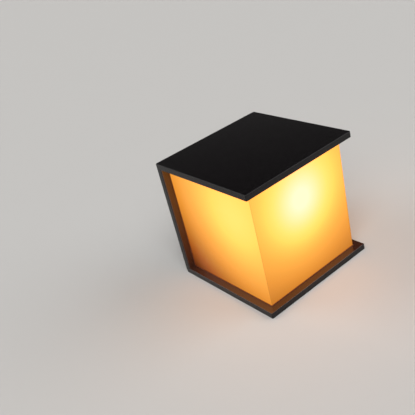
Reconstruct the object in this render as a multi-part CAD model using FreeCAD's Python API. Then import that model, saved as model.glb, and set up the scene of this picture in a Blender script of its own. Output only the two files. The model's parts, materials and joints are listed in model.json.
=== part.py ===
import FreeCAD, Part
import math
import os

# A cube-shaped outdoor wall light. Two cast covers of one outline and a cast back plate frame a light box
# of three opal panes, which an LED lamp in a screw lampholder lights from inside.
#
# Millimetres. X is to the right as one faces the light, Z is up, and the wall's surface is the plane
# Y = 0. The light stands out towards -Y. Most sizes here are depths: a depth d off the wall lies at Y = -d.

# ---------------------------------------------------------------- outside of the light
HEIGHT = 190.0
WIDTH = 192.0
DEPTH = 194.0  # from the wall to the covers' front edges
COVER_THICK = 9.0
BACK_THICK = 9.0
LEDGE = 12.0  # how far the covers and the back plate stand out past the panes
PANE_THICK = 3.0
CORNER_ROUND = 1.5
EDGE_ROUND = 0.8

# ---------------------------------------------------------------- castings
SKIN = 3.0  # wall left over a cast pocket
RIB_THICK = 2.0
RIB_SET = 1.0  # a cover's ribs stop this far short of its rim
RIB_PITCH = 38.0
CORE_ROUND = 4.0  # corner radius of a cast pocket
WELL_RIM = 6.0  # solid border above and below the back plate's well
BACK_RIB_DEEP = 3.0
DRAIN_R = 2.0
DRAIN_IN = 12.0  # drain holes, from the pocket's corners

# ---------------------------------------------------------------- rubber channels round the panes
GROOVE_DEEP = 4.0
GROOVE_WALL = 3.0  # metal between the groove and the pocket
LIP = 1.0  # rubber on each side of a pane
CHANNEL_FLOOR = 1.0  # rubber under a pane's edge
LIP_PROUD = 0.8  # how far the rubber stands out of its groove
RUBBER_FIT = 0.1  # clearance on each face of the rubber
MITRE_GAP = 0.2  # room for the bond in a mitred corner

# ---------------------------------------------------------------- wall side
SEAL_THICK = 3.0
SEAL_WIDE = 8.0
SEAL_INSET = 1.5
WEEP_WIDE = 16.0  # gap in the bottom of the seal that lets water out
STRAP_THICK = 1.5
STRAP_WIDE = 36.0
STRAP_BEND = 2.0  # middle radius of a bend
SLOT_SPACING = 100.0
SLOT_LONG = 12.0
SLOT_R = 2.75
STRAP_CABLE_R = 10.0
STRAP_SIDE_GAP = 1.9  # between the strap's ends and the sides of the well
STRAP_TAB = 14.0  # from where the strap leaves the wall to its end
STRAP_RISE = 3.5  # run of the sloping part
STRAP_SCREW_IN = 5.5
STRAP_CLEAR = 9.5  # from the strap's edge to the first rib
GROMMET_BORE_R = 5.0
GROMMET_NECK_R = 7.0
GROMMET_FLANGE_R = 9.5
GROMMET_FLANGE_THICK = 2.0
GROMMET_FIT = 0.1

# ---------------------------------------------------------------- lugs on the back plate
LUG_SPACING = 60.0
LUG_WIDE = 14.0
LUG_DEEP = 15.0
LUG_THICK = 8.0
LUG_ROUND = 5.0
LUG_SCREW_OUT = 7.0  # lug screw's axis, from the back plate's front
BOSS_WALL = 3.0
TAP_END = 1.5  # metal left over a blind tapped hole

# ---------------------------------------------------------------- screws
# radii of the shank and the head, and the head's height
M4 = {"shank": 2.0, "head": 3.8, "height": 2.6}
M3 = {"shank": 1.5, "head": 2.8, "height": 2.0}
THREAD_FIT = 0.05  # radial room in a tapped hole
SCREW_FIT = 0.3  # radial room in a clearance hole
COUNTERBORE_FIT = 0.5
HEX_SHARE = 0.5  # hexagon socket, as a share of the head's radius
WASHER_THICK = 1.5
WASHER_FIT = 0.1

# ---------------------------------------------------------------- gear tray
TRAY_SIDE_GAP = 13.5  # between the tray and the axes of the bracket's screws
TRAY_LUG_GAP = 5.4  # between the tray and the cover screws' heads
TRAY_STANDOFF = 4.0
TRAY_THICK = 1.0
TRAY_RIM = 8.0
TRAY_CORNER = 8.0
TRAY_BEND = 1.5
TRAY_SCREW_IN = 8.0  # tray screws, from the tray's edges
TRAY_SCREW_LONG = 6.0
TRAY_BOSS_R = 4.0
TRAY_CABLE_R = 13.0

# ---------------------------------------------------------------- lampholder, screw size E27
LAMP_BELOW = 30.0  # lamp's axis, from the tray's top edge
BRIDGE_THICK = 1.5
BRIDGE_TOP = 10.0  # from the tray to the outside of the bridge
BRIDGE_HALF_TOP = 22.0
BRIDGE_HALF_FOOT = 34.0
BRIDGE_LEAN = 3.0
BRIDGE_WIDE = 26.0
BRIDGE_BEND = 2.0
BRIDGE_SCREW_X = 30.0
HOLDER_LONG = 50.0
HOLDER_R = 20.0
HOLDER_WAIST_R = 17.0
HOLDER_BASE_LONG = 7.0
HOLDER_RIM_LONG = 6.0
HOLDER_RIM_OUT = 1.5
HOLDER_TAPER_LONG = 5.0
HOLDER_FLOOR = 18.0  # solid end behind the socket
HOLDER_SCREW_X = 14.0
HOLDER_SCREW_LONG = 9.0
LEAD_HOLE_OUT = 8.0  # the leads' holes, above and below the lamp's axis
SHELL_THICK = 0.8
SHELL_LONG = 22.0
SHELL_IN = 6.0  # from the lampholder's mouth
SHELL_FIT = 0.1
CONTACT_THICK = 0.6
CONTACT_WIDE = 6.0
CONTACT_HALF = 9.0
CONTACT_FIT = 0.2

# ---------------------------------------------------------------- LED lamp, globe of 60 mm
CAP_R = 13.0
CAP_FIT = 0.3  # radial room between the cap and the screw shell
CAP_LONG = 22.0
CAP_TIP_R = 5.0
INSULATOR_LONG = 2.5
BUTTON_LONG = 1.2
MOUTH_GAP = 0.3  # between the lamp's neck and the lampholder's mouth
NECK_R = 15.0
HOUSING_LONG = 38.0
HOUSING_WALL = 2.4
HOUSING_RIM = 2.0  # wall round the LED board's seat
GLOBE_R = 30.0
GLOBE_WALL = 1.5
GLOBE_OUT = 13.0  # globe's centre, from the housing's rim
BOARD_THICK = 1.6
BOARD_FIT = 0.2
CHIP_COUNT = 10
CHIP_RING_R = 16.0
CHIP_WIDE = 3.5
CHIP_LONG = 2.8
CHIP_TALL = 0.8

# ---------------------------------------------------------------- terminal block and leads
POLES = 3
POLE_PITCH = 11.5
POLE_WIDE = 9.5
BLOCK_BELOW = 3.0  # from the tray's cable hole to the block
BLOCK_HALF_X = 10.0
BLOCK_BASE = 3.0
BLOCK_TALL = 16.0
CLAMP_SIDE = 6.0
CLAMP_HALF_X = 8.5
CLAMP_FIT = 0.1
CLAMP_OUT = 8.5  # clamp's axis, from the tray
CLAMP_BORE = 3.0  # side of the square channel for a lead
WELL_R = 2.2
PINCH_SCREW_X = 5.0
PINCH_R = 1.4
PINCH_SUNK = 1.0
LEAD_R = 1.1
LEAD_FIT = 0.3
LEAD_SHORT = 2.0  # leads end this far short of the socket's floor
LEAD_DIP = 3.0  # leads pass under the bridge this far behind the clamps' axis
LIVE_OUT = 6.0  # from the block's side to the live lead's rise
NEUTRAL_OUT = 11.0
NEUTRAL_ASIDE = 7.0  # the neutral lead passes the live one by this much
EARTH_OUT = 4.0
RISE_SHORT = 26.0  # a lead's upright run ends this far below its hole
SLANT_LONG = 14.0  # height of a lead's slanting run
LEAD_BEND = 4.0
LEAD_SWEEP = 8.0
LUG_PLATE = 0.8
EARTH_IN = 10.0  # earth screw, from the tray's lower right screw, both ways
EARTH_RING_R = 4.6
EARTH_SLEEVE_R = 1.9
EARTH_SLEEVE_LONG = 7.0

# ---------------------------------------------------------------- places that follow from the sizes above
HALF_W = WIDTH / 2
HALF_H = HEIGHT / 2
LEDGE_Z = HALF_H - COVER_THICK  # underside of the top cover
BACK_REAR = SEAL_THICK
BACK_FRONT = BACK_REAR + BACK_THICK
BACK_SKIN = BACK_FRONT - SKIN
PANE_X = HALF_W - LEDGE  # outer faces of the side panes
PANE_FRONT = DEPTH - LEDGE  # outer face of the front pane
GROOVE_GROW = LIP + RUBBER_FIT
POCKET_X = PANE_X - PANE_THICK - GROOVE_GROW - GROOVE_WALL
POCKET_FRONT = PANE_FRONT - PANE_THICK - GROOVE_GROW - GROOVE_WALL
POCKET_REAR = BACK_FRONT + GROOVE_WALL
POCKET_ROOF = HALF_H - SKIN
WELL_Z = LEDGE_Z - WELL_RIM
GROOVE_REAR = BACK_FRONT - GROOVE_DEEP
PANE_REAR = GROOVE_REAR + RUBBER_FIT + CHANNEL_FLOOR + RUBBER_FIT
PANE_TOP = LEDGE_Z + GROOVE_DEEP - RUBBER_FIT - CHANNEL_FLOOR - RUBBER_FIT
STRAP_END = POCKET_X - STRAP_SIDE_GAP
STRAP_FLAT = STRAP_END - STRAP_TAB
BRACKET_SCREW_X = STRAP_END - STRAP_SCREW_IN
LUG_XS = [-LUG_SPACING, 0.0, LUG_SPACING]
LUG_SCREW_D = BACK_FRONT + LUG_SCREW_OUT
LUG_UNDER = LEDGE_Z - LUG_THICK
TRAY_REAR = BACK_FRONT + TRAY_STANDOFF
TRAY_FACE = TRAY_REAR + TRAY_THICK
TRAY_HALF_X = BRACKET_SCREW_X - TRAY_SIDE_GAP
TRAY_HALF_Z = LUG_UNDER - M4["height"] - TRAY_LUG_GAP
TRAY_SCREW_X = TRAY_HALF_X - TRAY_SCREW_IN
TRAY_SCREW_Z = TRAY_HALF_Z - TRAY_SCREW_IN
LAMP_Z = TRAY_HALF_Z - LAMP_BELOW
TRAY_BOSSES = [(x, z) for x in (-TRAY_SCREW_X, TRAY_SCREW_X) for z in (-TRAY_SCREW_Z, TRAY_SCREW_Z)]
EARTH_X = TRAY_SCREW_X - EARTH_IN
EARTH_Z = EARTH_IN - TRAY_SCREW_Z
BRIDGE_FACE = TRAY_FACE + BRIDGE_TOP
HOLDER_MOUTH = BRIDGE_FACE + HOLDER_LONG
SOCKET_FLOOR = BRIDGE_FACE + HOLDER_FLOOR
SHELL_IN_R = CAP_R + CAP_FIT
SHELL_OUT_R = SHELL_IN_R + SHELL_THICK
SOCKET_R = SHELL_OUT_R + SHELL_FIT
NECK_D = HOLDER_MOUTH + MOUTH_GAP
CAP_REAR = NECK_D - CAP_LONG
INSULATOR_REAR = CAP_REAR - INSULATOR_LONG
BUTTON_REAR = INSULATOR_REAR - BUTTON_LONG
RIM_D = NECK_D + HOUSING_LONG
GLOBE_D = RIM_D + GLOBE_OUT
GLOBE_RIM_R = math.sqrt(GLOBE_R**2 - GLOBE_OUT**2)
BLOCK_TOP_Z = -TRAY_CABLE_R - BLOCK_BELOW
POLE_ZS = [BLOCK_TOP_Z - POLE_PITCH * (i + 0.5) for i in range(POLES)]
BLOCK_BOTTOM_Z = BLOCK_TOP_Z - POLE_PITCH * POLES
CLAMP_D = TRAY_FACE + CLAMP_OUT
LEAD_START_X = PINCH_SCREW_X + PINCH_R + THREAD_FIT + LEAD_FIT

V = FreeCAD.Vector


# ---------------------------------------------------------------- shapes
def at(x, d, z):
    """The point x across, d off the wall and z up."""
    return V(x, -d, z)


def block(x0, x1, d0, d1, z0, z1):
    """A box from x0 to x1, from depth d0 to d1 and from z0 to z1."""
    return Part.makeBox(x1 - x0, d1 - d0, z1 - z0, at(x0, d1, z0))


def rod(r, d0, d1, x=0.0, z=0.0):
    """A round bar or hole square to the wall, from depth d0 to d1."""
    return Part.makeCylinder(r, d1 - d0, at(x, d0, z), V(0, -1, 0))


def post(r, z0, z1, x, d):
    """A round bar or hole that stands upright."""
    return Part.makeCylinder(r, z1 - z0, at(x, d, z0))


def cross_bar(r, x0, x1, d, z):
    """A round bar or hole along X."""
    return Part.makeCylinder(r, x1 - x0, at(x0, d, z), V(1, 0, 0))


def joined(shapes):
    """One shape from several that meet or overlap."""
    first, *rest = shapes
    return first.fuse(rest).removeSplitter() if rest else first


def cut(shape, tools):
    """The shape with every tool taken out of it."""
    return shape.cut(list(tools))


def rounded_edges(shape, radius, chosen):
    """The shape with the chosen edges rounded."""
    edges = [edge for edge in shape.Edges if chosen(edge)]
    return shape.makeFillet(radius, edges)


def along(axis):
    """A test for straight edges that run along an axis."""

    def test(edge):
        way = edge.tangentAt(edge.FirstParameter)
        return abs(way.dot(axis)) > 0.999

    return test


UP = along(V(0, 0, 1))
OUT = along(V(0, 1, 0))


def path(points, radii, closed=False):
    """Straight runs joined by tangent arcs, with one radius for each corner and 0 for a sharp one."""
    corners = []
    for i, (point, radius) in enumerate(zip(points, radii)):
        if radius == 0:
            corners.append((point, None, point))
            continue
        to_last = (points[i - 1] - point).normalize()
        to_next = (points[(i + 1) % len(points)] - point).normalize()
        half = to_last.getAngle(to_next) / 2
        reach = radius / math.tan(half)
        inward = (to_last + to_next).normalize()
        middle = point + inward * (radius / math.sin(half) - radius)
        corners.append((point + to_last * reach, middle, point + to_next * reach))
    edges = []
    for i, (start, middle, end) in enumerate(corners):
        if middle is not None:
            edges.append(Part.Arc(start, middle, end).toShape())
        if closed or i + 1 < len(corners):
            edges.append(Part.LineSegment(end, corners[(i + 1) % len(corners)][0]).toShape())
    return Part.Wire(edges)


def tube(points, bends, r):
    """A round lead along a path, with one bend radius for each inner point."""
    route = path(points, [0, *bends, 0])
    section = Part.Wire(Part.makeCircle(r, points[0], points[1] - points[0]))
    return route.makePipeShell([section], True, False)


def folded_strip(line, thick, bend, z0, z1):
    """Sheet metal folded along (x, depth) points of its middle line, from z0 to z1."""
    points = [at(x, d, z0) for x, d in line]
    route = path(points, [0, *[bend] * (len(points) - 2), 0])
    half = (points[1] - points[0]).normalize().cross(V(0, 0, 1)) * (thick / 2)
    rise = V(0, 0, z1 - z0)
    corners = [points[0] + half, points[0] - half, points[0] - half + rise, points[0] + half + rise]
    section = Part.makePolygon([*corners, corners[0]])
    return route.makePipeShell([section], True, False)


def turned(profile, z):
    """A solid turned about the line square to the wall at height z, from (depth, radius) points."""
    points = [at(0, d, z + r) for d, r in profile]
    face = Part.Face(Part.makePolygon([*points, points[0]]))
    return face.revolve(at(0, 0, z), V(0, 1, 0), 360)


def slot(r, long, d0, d1, x, z):
    """A slotted hole through a sheet, its length along X."""
    reach = long / 2 - r
    ends = [rod(r, d0, d1, x + side * reach, z) for side in (-1, 1)]
    return joined([block(x - reach, x + reach, d0, d1, z - r, z + r), *ends])


def turned_over(shape):
    """The same shape upside down."""
    return shape.mirror(V(0, 0, 0), V(0, 0, 1))


def facing_left(shape):
    """The same shape on the other side of the light."""
    return shape.mirror(V(0, 0, 0), V(1, 0, 0))


# ---------------------------------------------------------------- screws
def hex_socket(r, depth):
    """A hexagon socket that opens downwards from the origin."""
    turns = [math.radians(a) for a in range(0, 360, 60)]
    corners = [V(r * math.cos(turn), r * math.sin(turn), 0) for turn in turns]
    return Part.Face(Part.makePolygon([*corners, corners[0]])).extrude(V(0, 0, depth))


def screw(size, length):
    """A socket screw with its shank up, and its head's seat on the plane Z = 0."""
    head = Part.makeCylinder(size["head"], size["height"], V(0, 0, -size["height"]))
    shank = Part.makeCylinder(size["shank"], length)
    hollow = hex_socket(size["head"] * HEX_SHARE, size["height"] / 2)
    hollow.translate(V(0, 0, -size["height"]))
    return joined([head, shank]).cut(hollow)


def screw_to_wall(size, length, x, seat, z):
    """A screw driven towards the wall, its head's seat at depth seat."""
    driven = screw(size, length)
    driven.rotate(V(0, 0, 0), V(1, 0, 0), -90)
    driven.translate(at(x, seat, z))
    return driven


def screw_up(size, length, x, d, seat):
    """A screw driven upwards, its head's seat at height seat."""
    driven = screw(size, length)
    driven.translate(at(x, d, seat))
    return driven


# ---------------------------------------------------------------- castings
def pane_band(grow, rear, z0, z1):
    """The U that the three panes stand in, seen from above, grown on both of its sides."""
    outer = block(-PANE_X - grow, PANE_X + grow, rear, PANE_FRONT + grow, z0, z1)
    inner_x = PANE_X - PANE_THICK - grow
    inner = block(-inner_x, inner_x, rear - 1, PANE_FRONT - PANE_THICK - grow, z0 - 1, z1 + 1)
    return outer.cut(inner)


def cover_casting():
    """The casting that serves as top cover: flat outside, ribbed and grooved on its inner side."""
    slab = block(-HALF_W, HALF_W, BACK_REAR, DEPTH, LEDGE_Z, HALF_H)
    slab = rounded_edges(slab, CORNER_ROUND, UP)
    slab = rounded_edges(slab, EDGE_ROUND, lambda edge: not UP(edge))
    pocket = block(-POCKET_X, POCKET_X, POCKET_REAR, POCKET_FRONT, LEDGE_Z - 1, POCKET_ROOF)
    pocket = rounded_edges(pocket, CORE_ROUND, UP)
    groove = pane_band(GROOVE_GROW, GROOVE_REAR, LEDGE_Z - 1, LEDGE_Z + GROOVE_DEEP)
    rib_foot = LEDGE_Z + RIB_SET
    middle_d = (POCKET_REAR + POCKET_FRONT) / 2
    half = RIB_THICK / 2
    ribs = []
    for step in (-1, 0, 1):
        x = step * RIB_PITCH
        ribs.append(block(x - half, x + half, POCKET_REAR, POCKET_FRONT, rib_foot, POCKET_ROOF))
        d = middle_d + step * RIB_PITCH
        ribs.append(block(-POCKET_X, POCKET_X, d - half, d + half, rib_foot, POCKET_ROOF))
    bosses = [post(M4["shank"] + BOSS_WALL, LEDGE_Z, POCKET_ROOF, x, LUG_SCREW_D) for x in LUG_XS]
    return joined([slab.cut(pocket).cut(groove), *ribs, *bosses])


def top_cover():
    """The top cover, with a blind tapped hole in each boss."""
    hole_end = HALF_H - TAP_END
    holes = [post(M4["shank"] + THREAD_FIT, LEDGE_Z - 1, hole_end, x, LUG_SCREW_D) for x in LUG_XS]
    return cut(cover_casting(), holes)


def base_plate():
    """The base plate, with sunk screw holes and a drain hole near each front corner."""
    plate = turned_over(cover_casting())
    seat = -HALF_H + M4["height"] + COUNTERBORE_FIT
    holes = []
    for x in LUG_XS:
        holes.append(post(M4["shank"] + SCREW_FIT, -HALF_H - 1, -LEDGE_Z + 1, x, LUG_SCREW_D))
        holes.append(post(M4["head"] + COUNTERBORE_FIT, -HALF_H - 1, seat, x, LUG_SCREW_D))
    for side in (-1, 1):
        x = side * (POCKET_X - DRAIN_IN)
        holes.append(post(DRAIN_R, -HALF_H - 1, -LEDGE_Z, x, POCKET_FRONT - DRAIN_IN))
    return cut(plate, holes)


def back_plate():
    """The back plate: a well and ribs towards the wall, lugs and bosses towards the room."""
    plate = block(-HALF_W, HALF_W, BACK_REAR, BACK_FRONT, -LEDGE_Z, LEDGE_Z)
    plate = rounded_edges(plate, CORNER_ROUND, UP)
    well = block(-POCKET_X, POCKET_X, BACK_REAR - 1, BACK_SKIN, -WELL_Z, WELL_Z)
    well = rounded_edges(well, CORE_ROUND, OUT)
    inner_x = PANE_X - PANE_THICK - GROOVE_GROW
    grooves = [
        block(inner_x, PANE_X + GROOVE_GROW, GROOVE_REAR, BACK_FRONT + 1, -HALF_H, HALF_H),
        block(-PANE_X - GROOVE_GROW, -inner_x, GROOVE_REAR, BACK_FRONT + 1, -HALF_H, HALF_H),
    ]
    pieces = [cut(plate, [well, *grooves]), *back_ribs(), *back_lugs()]
    pieces += [rod(TRAY_BOSS_R, BACK_FRONT, TRAY_REAR, x, z) for x, z in [*TRAY_BOSSES, (EARTH_X, EARTH_Z)]]
    return cut(joined(pieces), back_holes())


def back_ribs():
    """Ribs in the well, clear of the strap that fixes the light to the wall."""
    rear = BACK_SKIN - BACK_RIB_DEEP
    clear = STRAP_WIDE / 2 + STRAP_CLEAR
    half = RIB_THICK / 2
    ribs = []
    for z in (clear, clear + RIB_PITCH / 2):
        ribs.append(block(-POCKET_X, POCKET_X, rear, BACK_SKIN, z - half, z + half))
    for x in (-RIB_PITCH, 0, RIB_PITCH):
        ribs.append(block(x - half, x + half, rear, BACK_SKIN, clear, WELL_Z))
    return ribs + [turned_over(rib) for rib in ribs]


def back_lugs():
    """Lugs that the covers are screwed to, three above and three below."""
    lugs = []
    for x in LUG_XS:
        front = BACK_FRONT + LUG_DEEP
        lug = block(x - LUG_WIDE / 2, x + LUG_WIDE / 2, BACK_SKIN, front, LUG_UNDER, LEDGE_Z)
        lug = rounded_edges(lug, LUG_ROUND, lambda edge: UP(edge) and edge.CenterOfMass.y < -front + 1)
        lugs += [lug, turned_over(lug)]
    return lugs


def back_holes():
    """Every hole through the back plate."""
    holes = [rod(GROMMET_NECK_R + GROMMET_FIT, BACK_REAR, BACK_FRONT + 1)]
    for side in (-1, 1):
        holes.append(rod(M4["shank"] + SCREW_FIT, BACK_REAR, BACK_FRONT + 1, side * BRACKET_SCREW_X))
    for x, z in [*TRAY_BOSSES, (EARTH_X, EARTH_Z)]:
        size = M4 if x == EARTH_X else M3
        holes.append(rod(size["shank"] + THREAD_FIT, BACK_SKIN + TAP_END / 2, TRAY_REAR + 1, x, z))
    for x in LUG_XS:
        holes.append(post(M4["shank"] + SCREW_FIT, LUG_UNDER - 1, LEDGE_Z + 1, x, LUG_SCREW_D))
        holes.append(post(M4["shank"] + THREAD_FIT, -LEDGE_Z - 1, -LUG_UNDER + 1, x, LUG_SCREW_D))
    return holes


def cover_screws():
    """Screws that hold the top cover, driven upwards from inside the light."""
    length = LUG_THICK + COVER_THICK - 2 * TAP_END
    return [screw_up(M4, length, x, LUG_SCREW_D, LUG_UNDER) for x in LUG_XS]


def base_screws():
    """Screws that hold the base plate, sunk in its underside."""
    seat = -HALF_H + M4["height"] + COUNTERBORE_FIT
    return [screw_up(M4, -LUG_UNDER - TAP_END - seat, x, LUG_SCREW_D, seat) for x in LUG_XS]


# ---------------------------------------------------------------- panes and their rubber channels
def ahead_of_mitre(shift):
    """A prism that holds all that is in front of the right corner's mitre plane, moved out by shift."""
    far = 2 * DEPTH
    plane_ends = [(PANE_X + far, PANE_FRONT + far + shift), (PANE_X - far, PANE_FRONT - far + shift)]
    corners = [at(x, d, -HEIGHT) for x, d in [*plane_ends, (PANE_X - far, PANE_FRONT + far + shift)]]
    return Part.Face(Part.makePolygon([*corners, corners[0]])).extrude(V(0, 0, 2 * HEIGHT))


def front_panel():
    """The front pane, mitred at both upright edges."""
    pane = block(-PANE_X, PANE_X, PANE_FRONT - PANE_THICK, PANE_FRONT, -PANE_TOP, PANE_TOP)
    ahead = ahead_of_mitre(MITRE_GAP / 2)
    return pane.common(ahead).common(facing_left(ahead))


def right_panel():
    """The right pane, mitred at its front edge."""
    pane = block(PANE_X - PANE_THICK, PANE_X, PANE_REAR, PANE_FRONT, -PANE_TOP, PANE_TOP)
    return pane.cut(ahead_of_mitre(-MITRE_GAP / 2))


def upper_gasket():
    """The rubber channel round the panes' top edges."""
    top = LEDGE_Z + GROOVE_DEEP - RUBBER_FIT
    foot = LEDGE_Z - LIP_PROUD
    band = pane_band(LIP, GROOVE_REAR + RUBBER_FIT, foot, top)
    return band.cut(pane_band(RUBBER_FIT, PANE_REAR - RUBBER_FIT, foot - 1, PANE_TOP + RUBBER_FIT))


def right_rear_gasket():
    """The rubber channel on the right pane's rear edge."""
    inner_x = PANE_X - PANE_THICK
    reach = LEDGE_Z - LIP_PROUD - RUBBER_FIT
    front = BACK_FRONT + LIP_PROUD
    band = block(inner_x - LIP, PANE_X + LIP, GROOVE_REAR + RUBBER_FIT, front, -reach, reach)
    room = (inner_x - RUBBER_FIT, PANE_X + RUBBER_FIT, PANE_REAR - RUBBER_FIT, front + 1)
    return band.cut(block(*room, -HALF_H, HALF_H))


# ---------------------------------------------------------------- wall side
def wall_seal():
    """The foam ring on the wall, with a gap at the bottom that lets water out."""
    out_x = HALF_W - SEAL_INSET
    out_z = HALF_H - SEAL_INSET
    in_x = out_x - SEAL_WIDE
    in_z = out_z - SEAL_WIDE
    outer = rounded_edges(block(-out_x, out_x, 0, SEAL_THICK, -out_z, out_z), CORNER_ROUND, OUT)
    inner = rounded_edges(block(-in_x, in_x, -1, SEAL_THICK + 1, -in_z, in_z), CORE_ROUND, OUT)
    weep = block(-WEEP_WIDE / 2, WEEP_WIDE / 2, -1, SEAL_THICK + 1, -HALF_H, 0)
    return cut(outer, [inner, weep])


def wall_bracket():
    """The steel strap: its middle lies on the wall and its raised ends meet the back plate."""
    low = STRAP_THICK / 2
    high = BACK_SKIN - STRAP_THICK / 2
    rise = STRAP_FLAT + STRAP_RISE
    right = [(STRAP_FLAT, low), (rise, high), (STRAP_END, high)]
    line = [(-x, d) for x, d in reversed(right)] + right
    strap = folded_strip(line, STRAP_THICK, STRAP_BEND, -STRAP_WIDE / 2, STRAP_WIDE / 2)
    holes = [rod(STRAP_CABLE_R, -1, STRAP_THICK + 1)]
    for side in (-1, 1):
        holes.append(slot(SLOT_R, SLOT_LONG, -1, STRAP_THICK + 1, side * SLOT_SPACING / 2, 0))
        holes.append(rod(M4["shank"] + THREAD_FIT, BACK_REAR, BACK_FRONT, side * BRACKET_SCREW_X))
    return cut(strap, holes)


def bracket_washers():
    """Rubber washers that seal the two screws through the back plate."""
    washers = []
    for side in (-1, 1):
        x = side * BRACKET_SCREW_X
        disc = rod(M4["head"] + WASHER_FIT, BACK_FRONT, BACK_FRONT + WASHER_THICK, x)
        washers.append(disc.cut(rod(M4["shank"] + WASHER_FIT, BACK_REAR, TRAY_FACE, x)))
    return washers


def bracket_screws():
    """Screws that draw the back plate onto the strap."""
    seat = BACK_FRONT + WASHER_THICK
    length = seat - (BACK_SKIN - STRAP_THICK) + TAP_END
    return [screw_to_wall(M4, length, side * BRACKET_SCREW_X, seat, 0) for side in (-1, 1)]


def cable_grommet():
    """The rubber inlet that the supply cable passes through."""
    rear = BACK_SKIN - GROMMET_FLANGE_THICK
    front = BACK_FRONT + GROMMET_FLANGE_THICK
    profile = [
        (rear, GROMMET_BORE_R),
        (rear, GROMMET_FLANGE_R),
        (BACK_SKIN, GROMMET_FLANGE_R),
        (BACK_SKIN, GROMMET_NECK_R),
        (BACK_FRONT, GROMMET_NECK_R),
        (BACK_FRONT, GROMMET_FLANGE_R),
        (front, GROMMET_NECK_R),
        (front, GROMMET_BORE_R),
    ]
    return turned(profile, 0)


# ---------------------------------------------------------------- gear tray
def gear_tray():
    """The white pressed tray that carries the electrical parts, with a rim that stands towards the room."""
    front = TRAY_REAR + TRAY_RIM
    outer = tray_form(TRAY_REAR, front, 0)
    outer = rounded_edges(outer, TRAY_BEND, lambda edge: edge.BoundBox.YMin > -TRAY_FACE)
    inner = tray_form(TRAY_FACE, front + 1, TRAY_THICK)
    through = (TRAY_REAR - 1, TRAY_FACE + 1)
    holes = [rod(TRAY_CABLE_R, *through)]
    holes += [rod(M3["shank"] + SCREW_FIT, *through, x, z) for x, z in TRAY_BOSSES]
    holes.append(rod(M4["shank"] + SCREW_FIT, *through, EARTH_X, EARTH_Z))
    holes += [rod(M3["shank"] + THREAD_FIT, *through, x, LAMP_Z) for x in (-BRIDGE_SCREW_X, BRIDGE_SCREW_X)]
    holes += [rod(M3["shank"] + THREAD_FIT, *through, 0, z) for z in block_screw_zs()]
    return cut(outer, [inner, *holes])


def tray_form(rear, front, inset):
    """A block with the tray's outline and rounded corners, drawn in by inset."""
    half_x = TRAY_HALF_X - inset
    half_z = TRAY_HALF_Z - inset
    form = block(-half_x, half_x, rear, front, -half_z, half_z)
    return rounded_edges(form, TRAY_CORNER - inset, OUT)


def tray_screws():
    """Screws at the tray's corners."""
    return [screw_to_wall(M3, TRAY_SCREW_LONG, x, TRAY_FACE, z) for x, z in TRAY_BOSSES]


# ---------------------------------------------------------------- lampholder
def lampholder_bracket():
    """The folded bridge that stands the lampholder off the tray."""
    low = TRAY_FACE + BRIDGE_THICK / 2
    high = BRIDGE_FACE - BRIDGE_THICK / 2
    right = [(BRIDGE_HALF_TOP, high), (BRIDGE_HALF_TOP + BRIDGE_LEAN, low), (BRIDGE_HALF_FOOT, low)]
    line = [(-x, d) for x, d in reversed(right)] + right
    z0 = LAMP_Z - BRIDGE_WIDE / 2
    bridge = folded_strip(line, BRIDGE_THICK, BRIDGE_BEND, z0, z0 + BRIDGE_WIDE)
    foot = (TRAY_FACE - 1, TRAY_FACE + BRIDGE_THICK + 1)
    top = (BRIDGE_FACE - BRIDGE_THICK - 1, BRIDGE_FACE + 1)
    holes = []
    for side in (-1, 1):
        holes.append(rod(M3["shank"] + SCREW_FIT, *foot, side * BRIDGE_SCREW_X, LAMP_Z))
        holes.append(rod(M3["shank"] + SCREW_FIT, *top, side * HOLDER_SCREW_X, LAMP_Z))
        holes.append(rod(LEAD_R + 2 * LEAD_FIT, *top, 0, LAMP_Z + side * LEAD_HOLE_OUT))
    return cut(bridge, holes)


def lampholder_bracket_screws():
    """Screws through the bridge's feet into the tray."""
    seat = TRAY_FACE + BRIDGE_THICK
    length = BRIDGE_THICK + TRAY_THICK + TRAY_STANDOFF / 2
    return [screw_to_wall(M3, length, side * BRIDGE_SCREW_X, seat, LAMP_Z) for side in (-1, 1)]


def lampholder():
    """The lampholder's body: a waisted barrel with a collar at its mouth."""
    waist = BRIDGE_FACE + HOLDER_BASE_LONG
    collar = HOLDER_MOUTH - HOLDER_RIM_LONG
    profile = [
        (BRIDGE_FACE, 0),
        (BRIDGE_FACE, HOLDER_R),
        (waist, HOLDER_R),
        (waist + HOLDER_TAPER_LONG, HOLDER_WAIST_R),
        (collar, HOLDER_R),
        (collar, HOLDER_R + HOLDER_RIM_OUT),
        (HOLDER_MOUTH, HOLDER_R + HOLDER_RIM_OUT),
        (HOLDER_MOUTH, SOCKET_R),
        (SOCKET_FLOOR, SOCKET_R),
        (SOCKET_FLOOR, 0),
    ]
    holes = []
    for side in (-1, 1):
        end = BRIDGE_FACE + HOLDER_SCREW_LONG
        holes.append(rod(M3["shank"] + THREAD_FIT, BRIDGE_FACE - 1, end, side * HOLDER_SCREW_X, LAMP_Z))
        z = LAMP_Z + side * LEAD_HOLE_OUT
        holes.append(rod(LEAD_R + LEAD_FIT, BRIDGE_FACE - 1, SOCKET_FLOOR + 1, 0, z))
    return cut(turned(profile, LAMP_Z), holes)


def screw_shell():
    """The metal sleeve that the lamp's cap screws into."""
    front = HOLDER_MOUTH - SHELL_IN
    rear = front - SHELL_LONG
    profile = [(rear, SHELL_IN_R), (rear, SHELL_OUT_R), (front, SHELL_OUT_R), (front, SHELL_IN_R)]
    return turned(profile, LAMP_Z)


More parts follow.
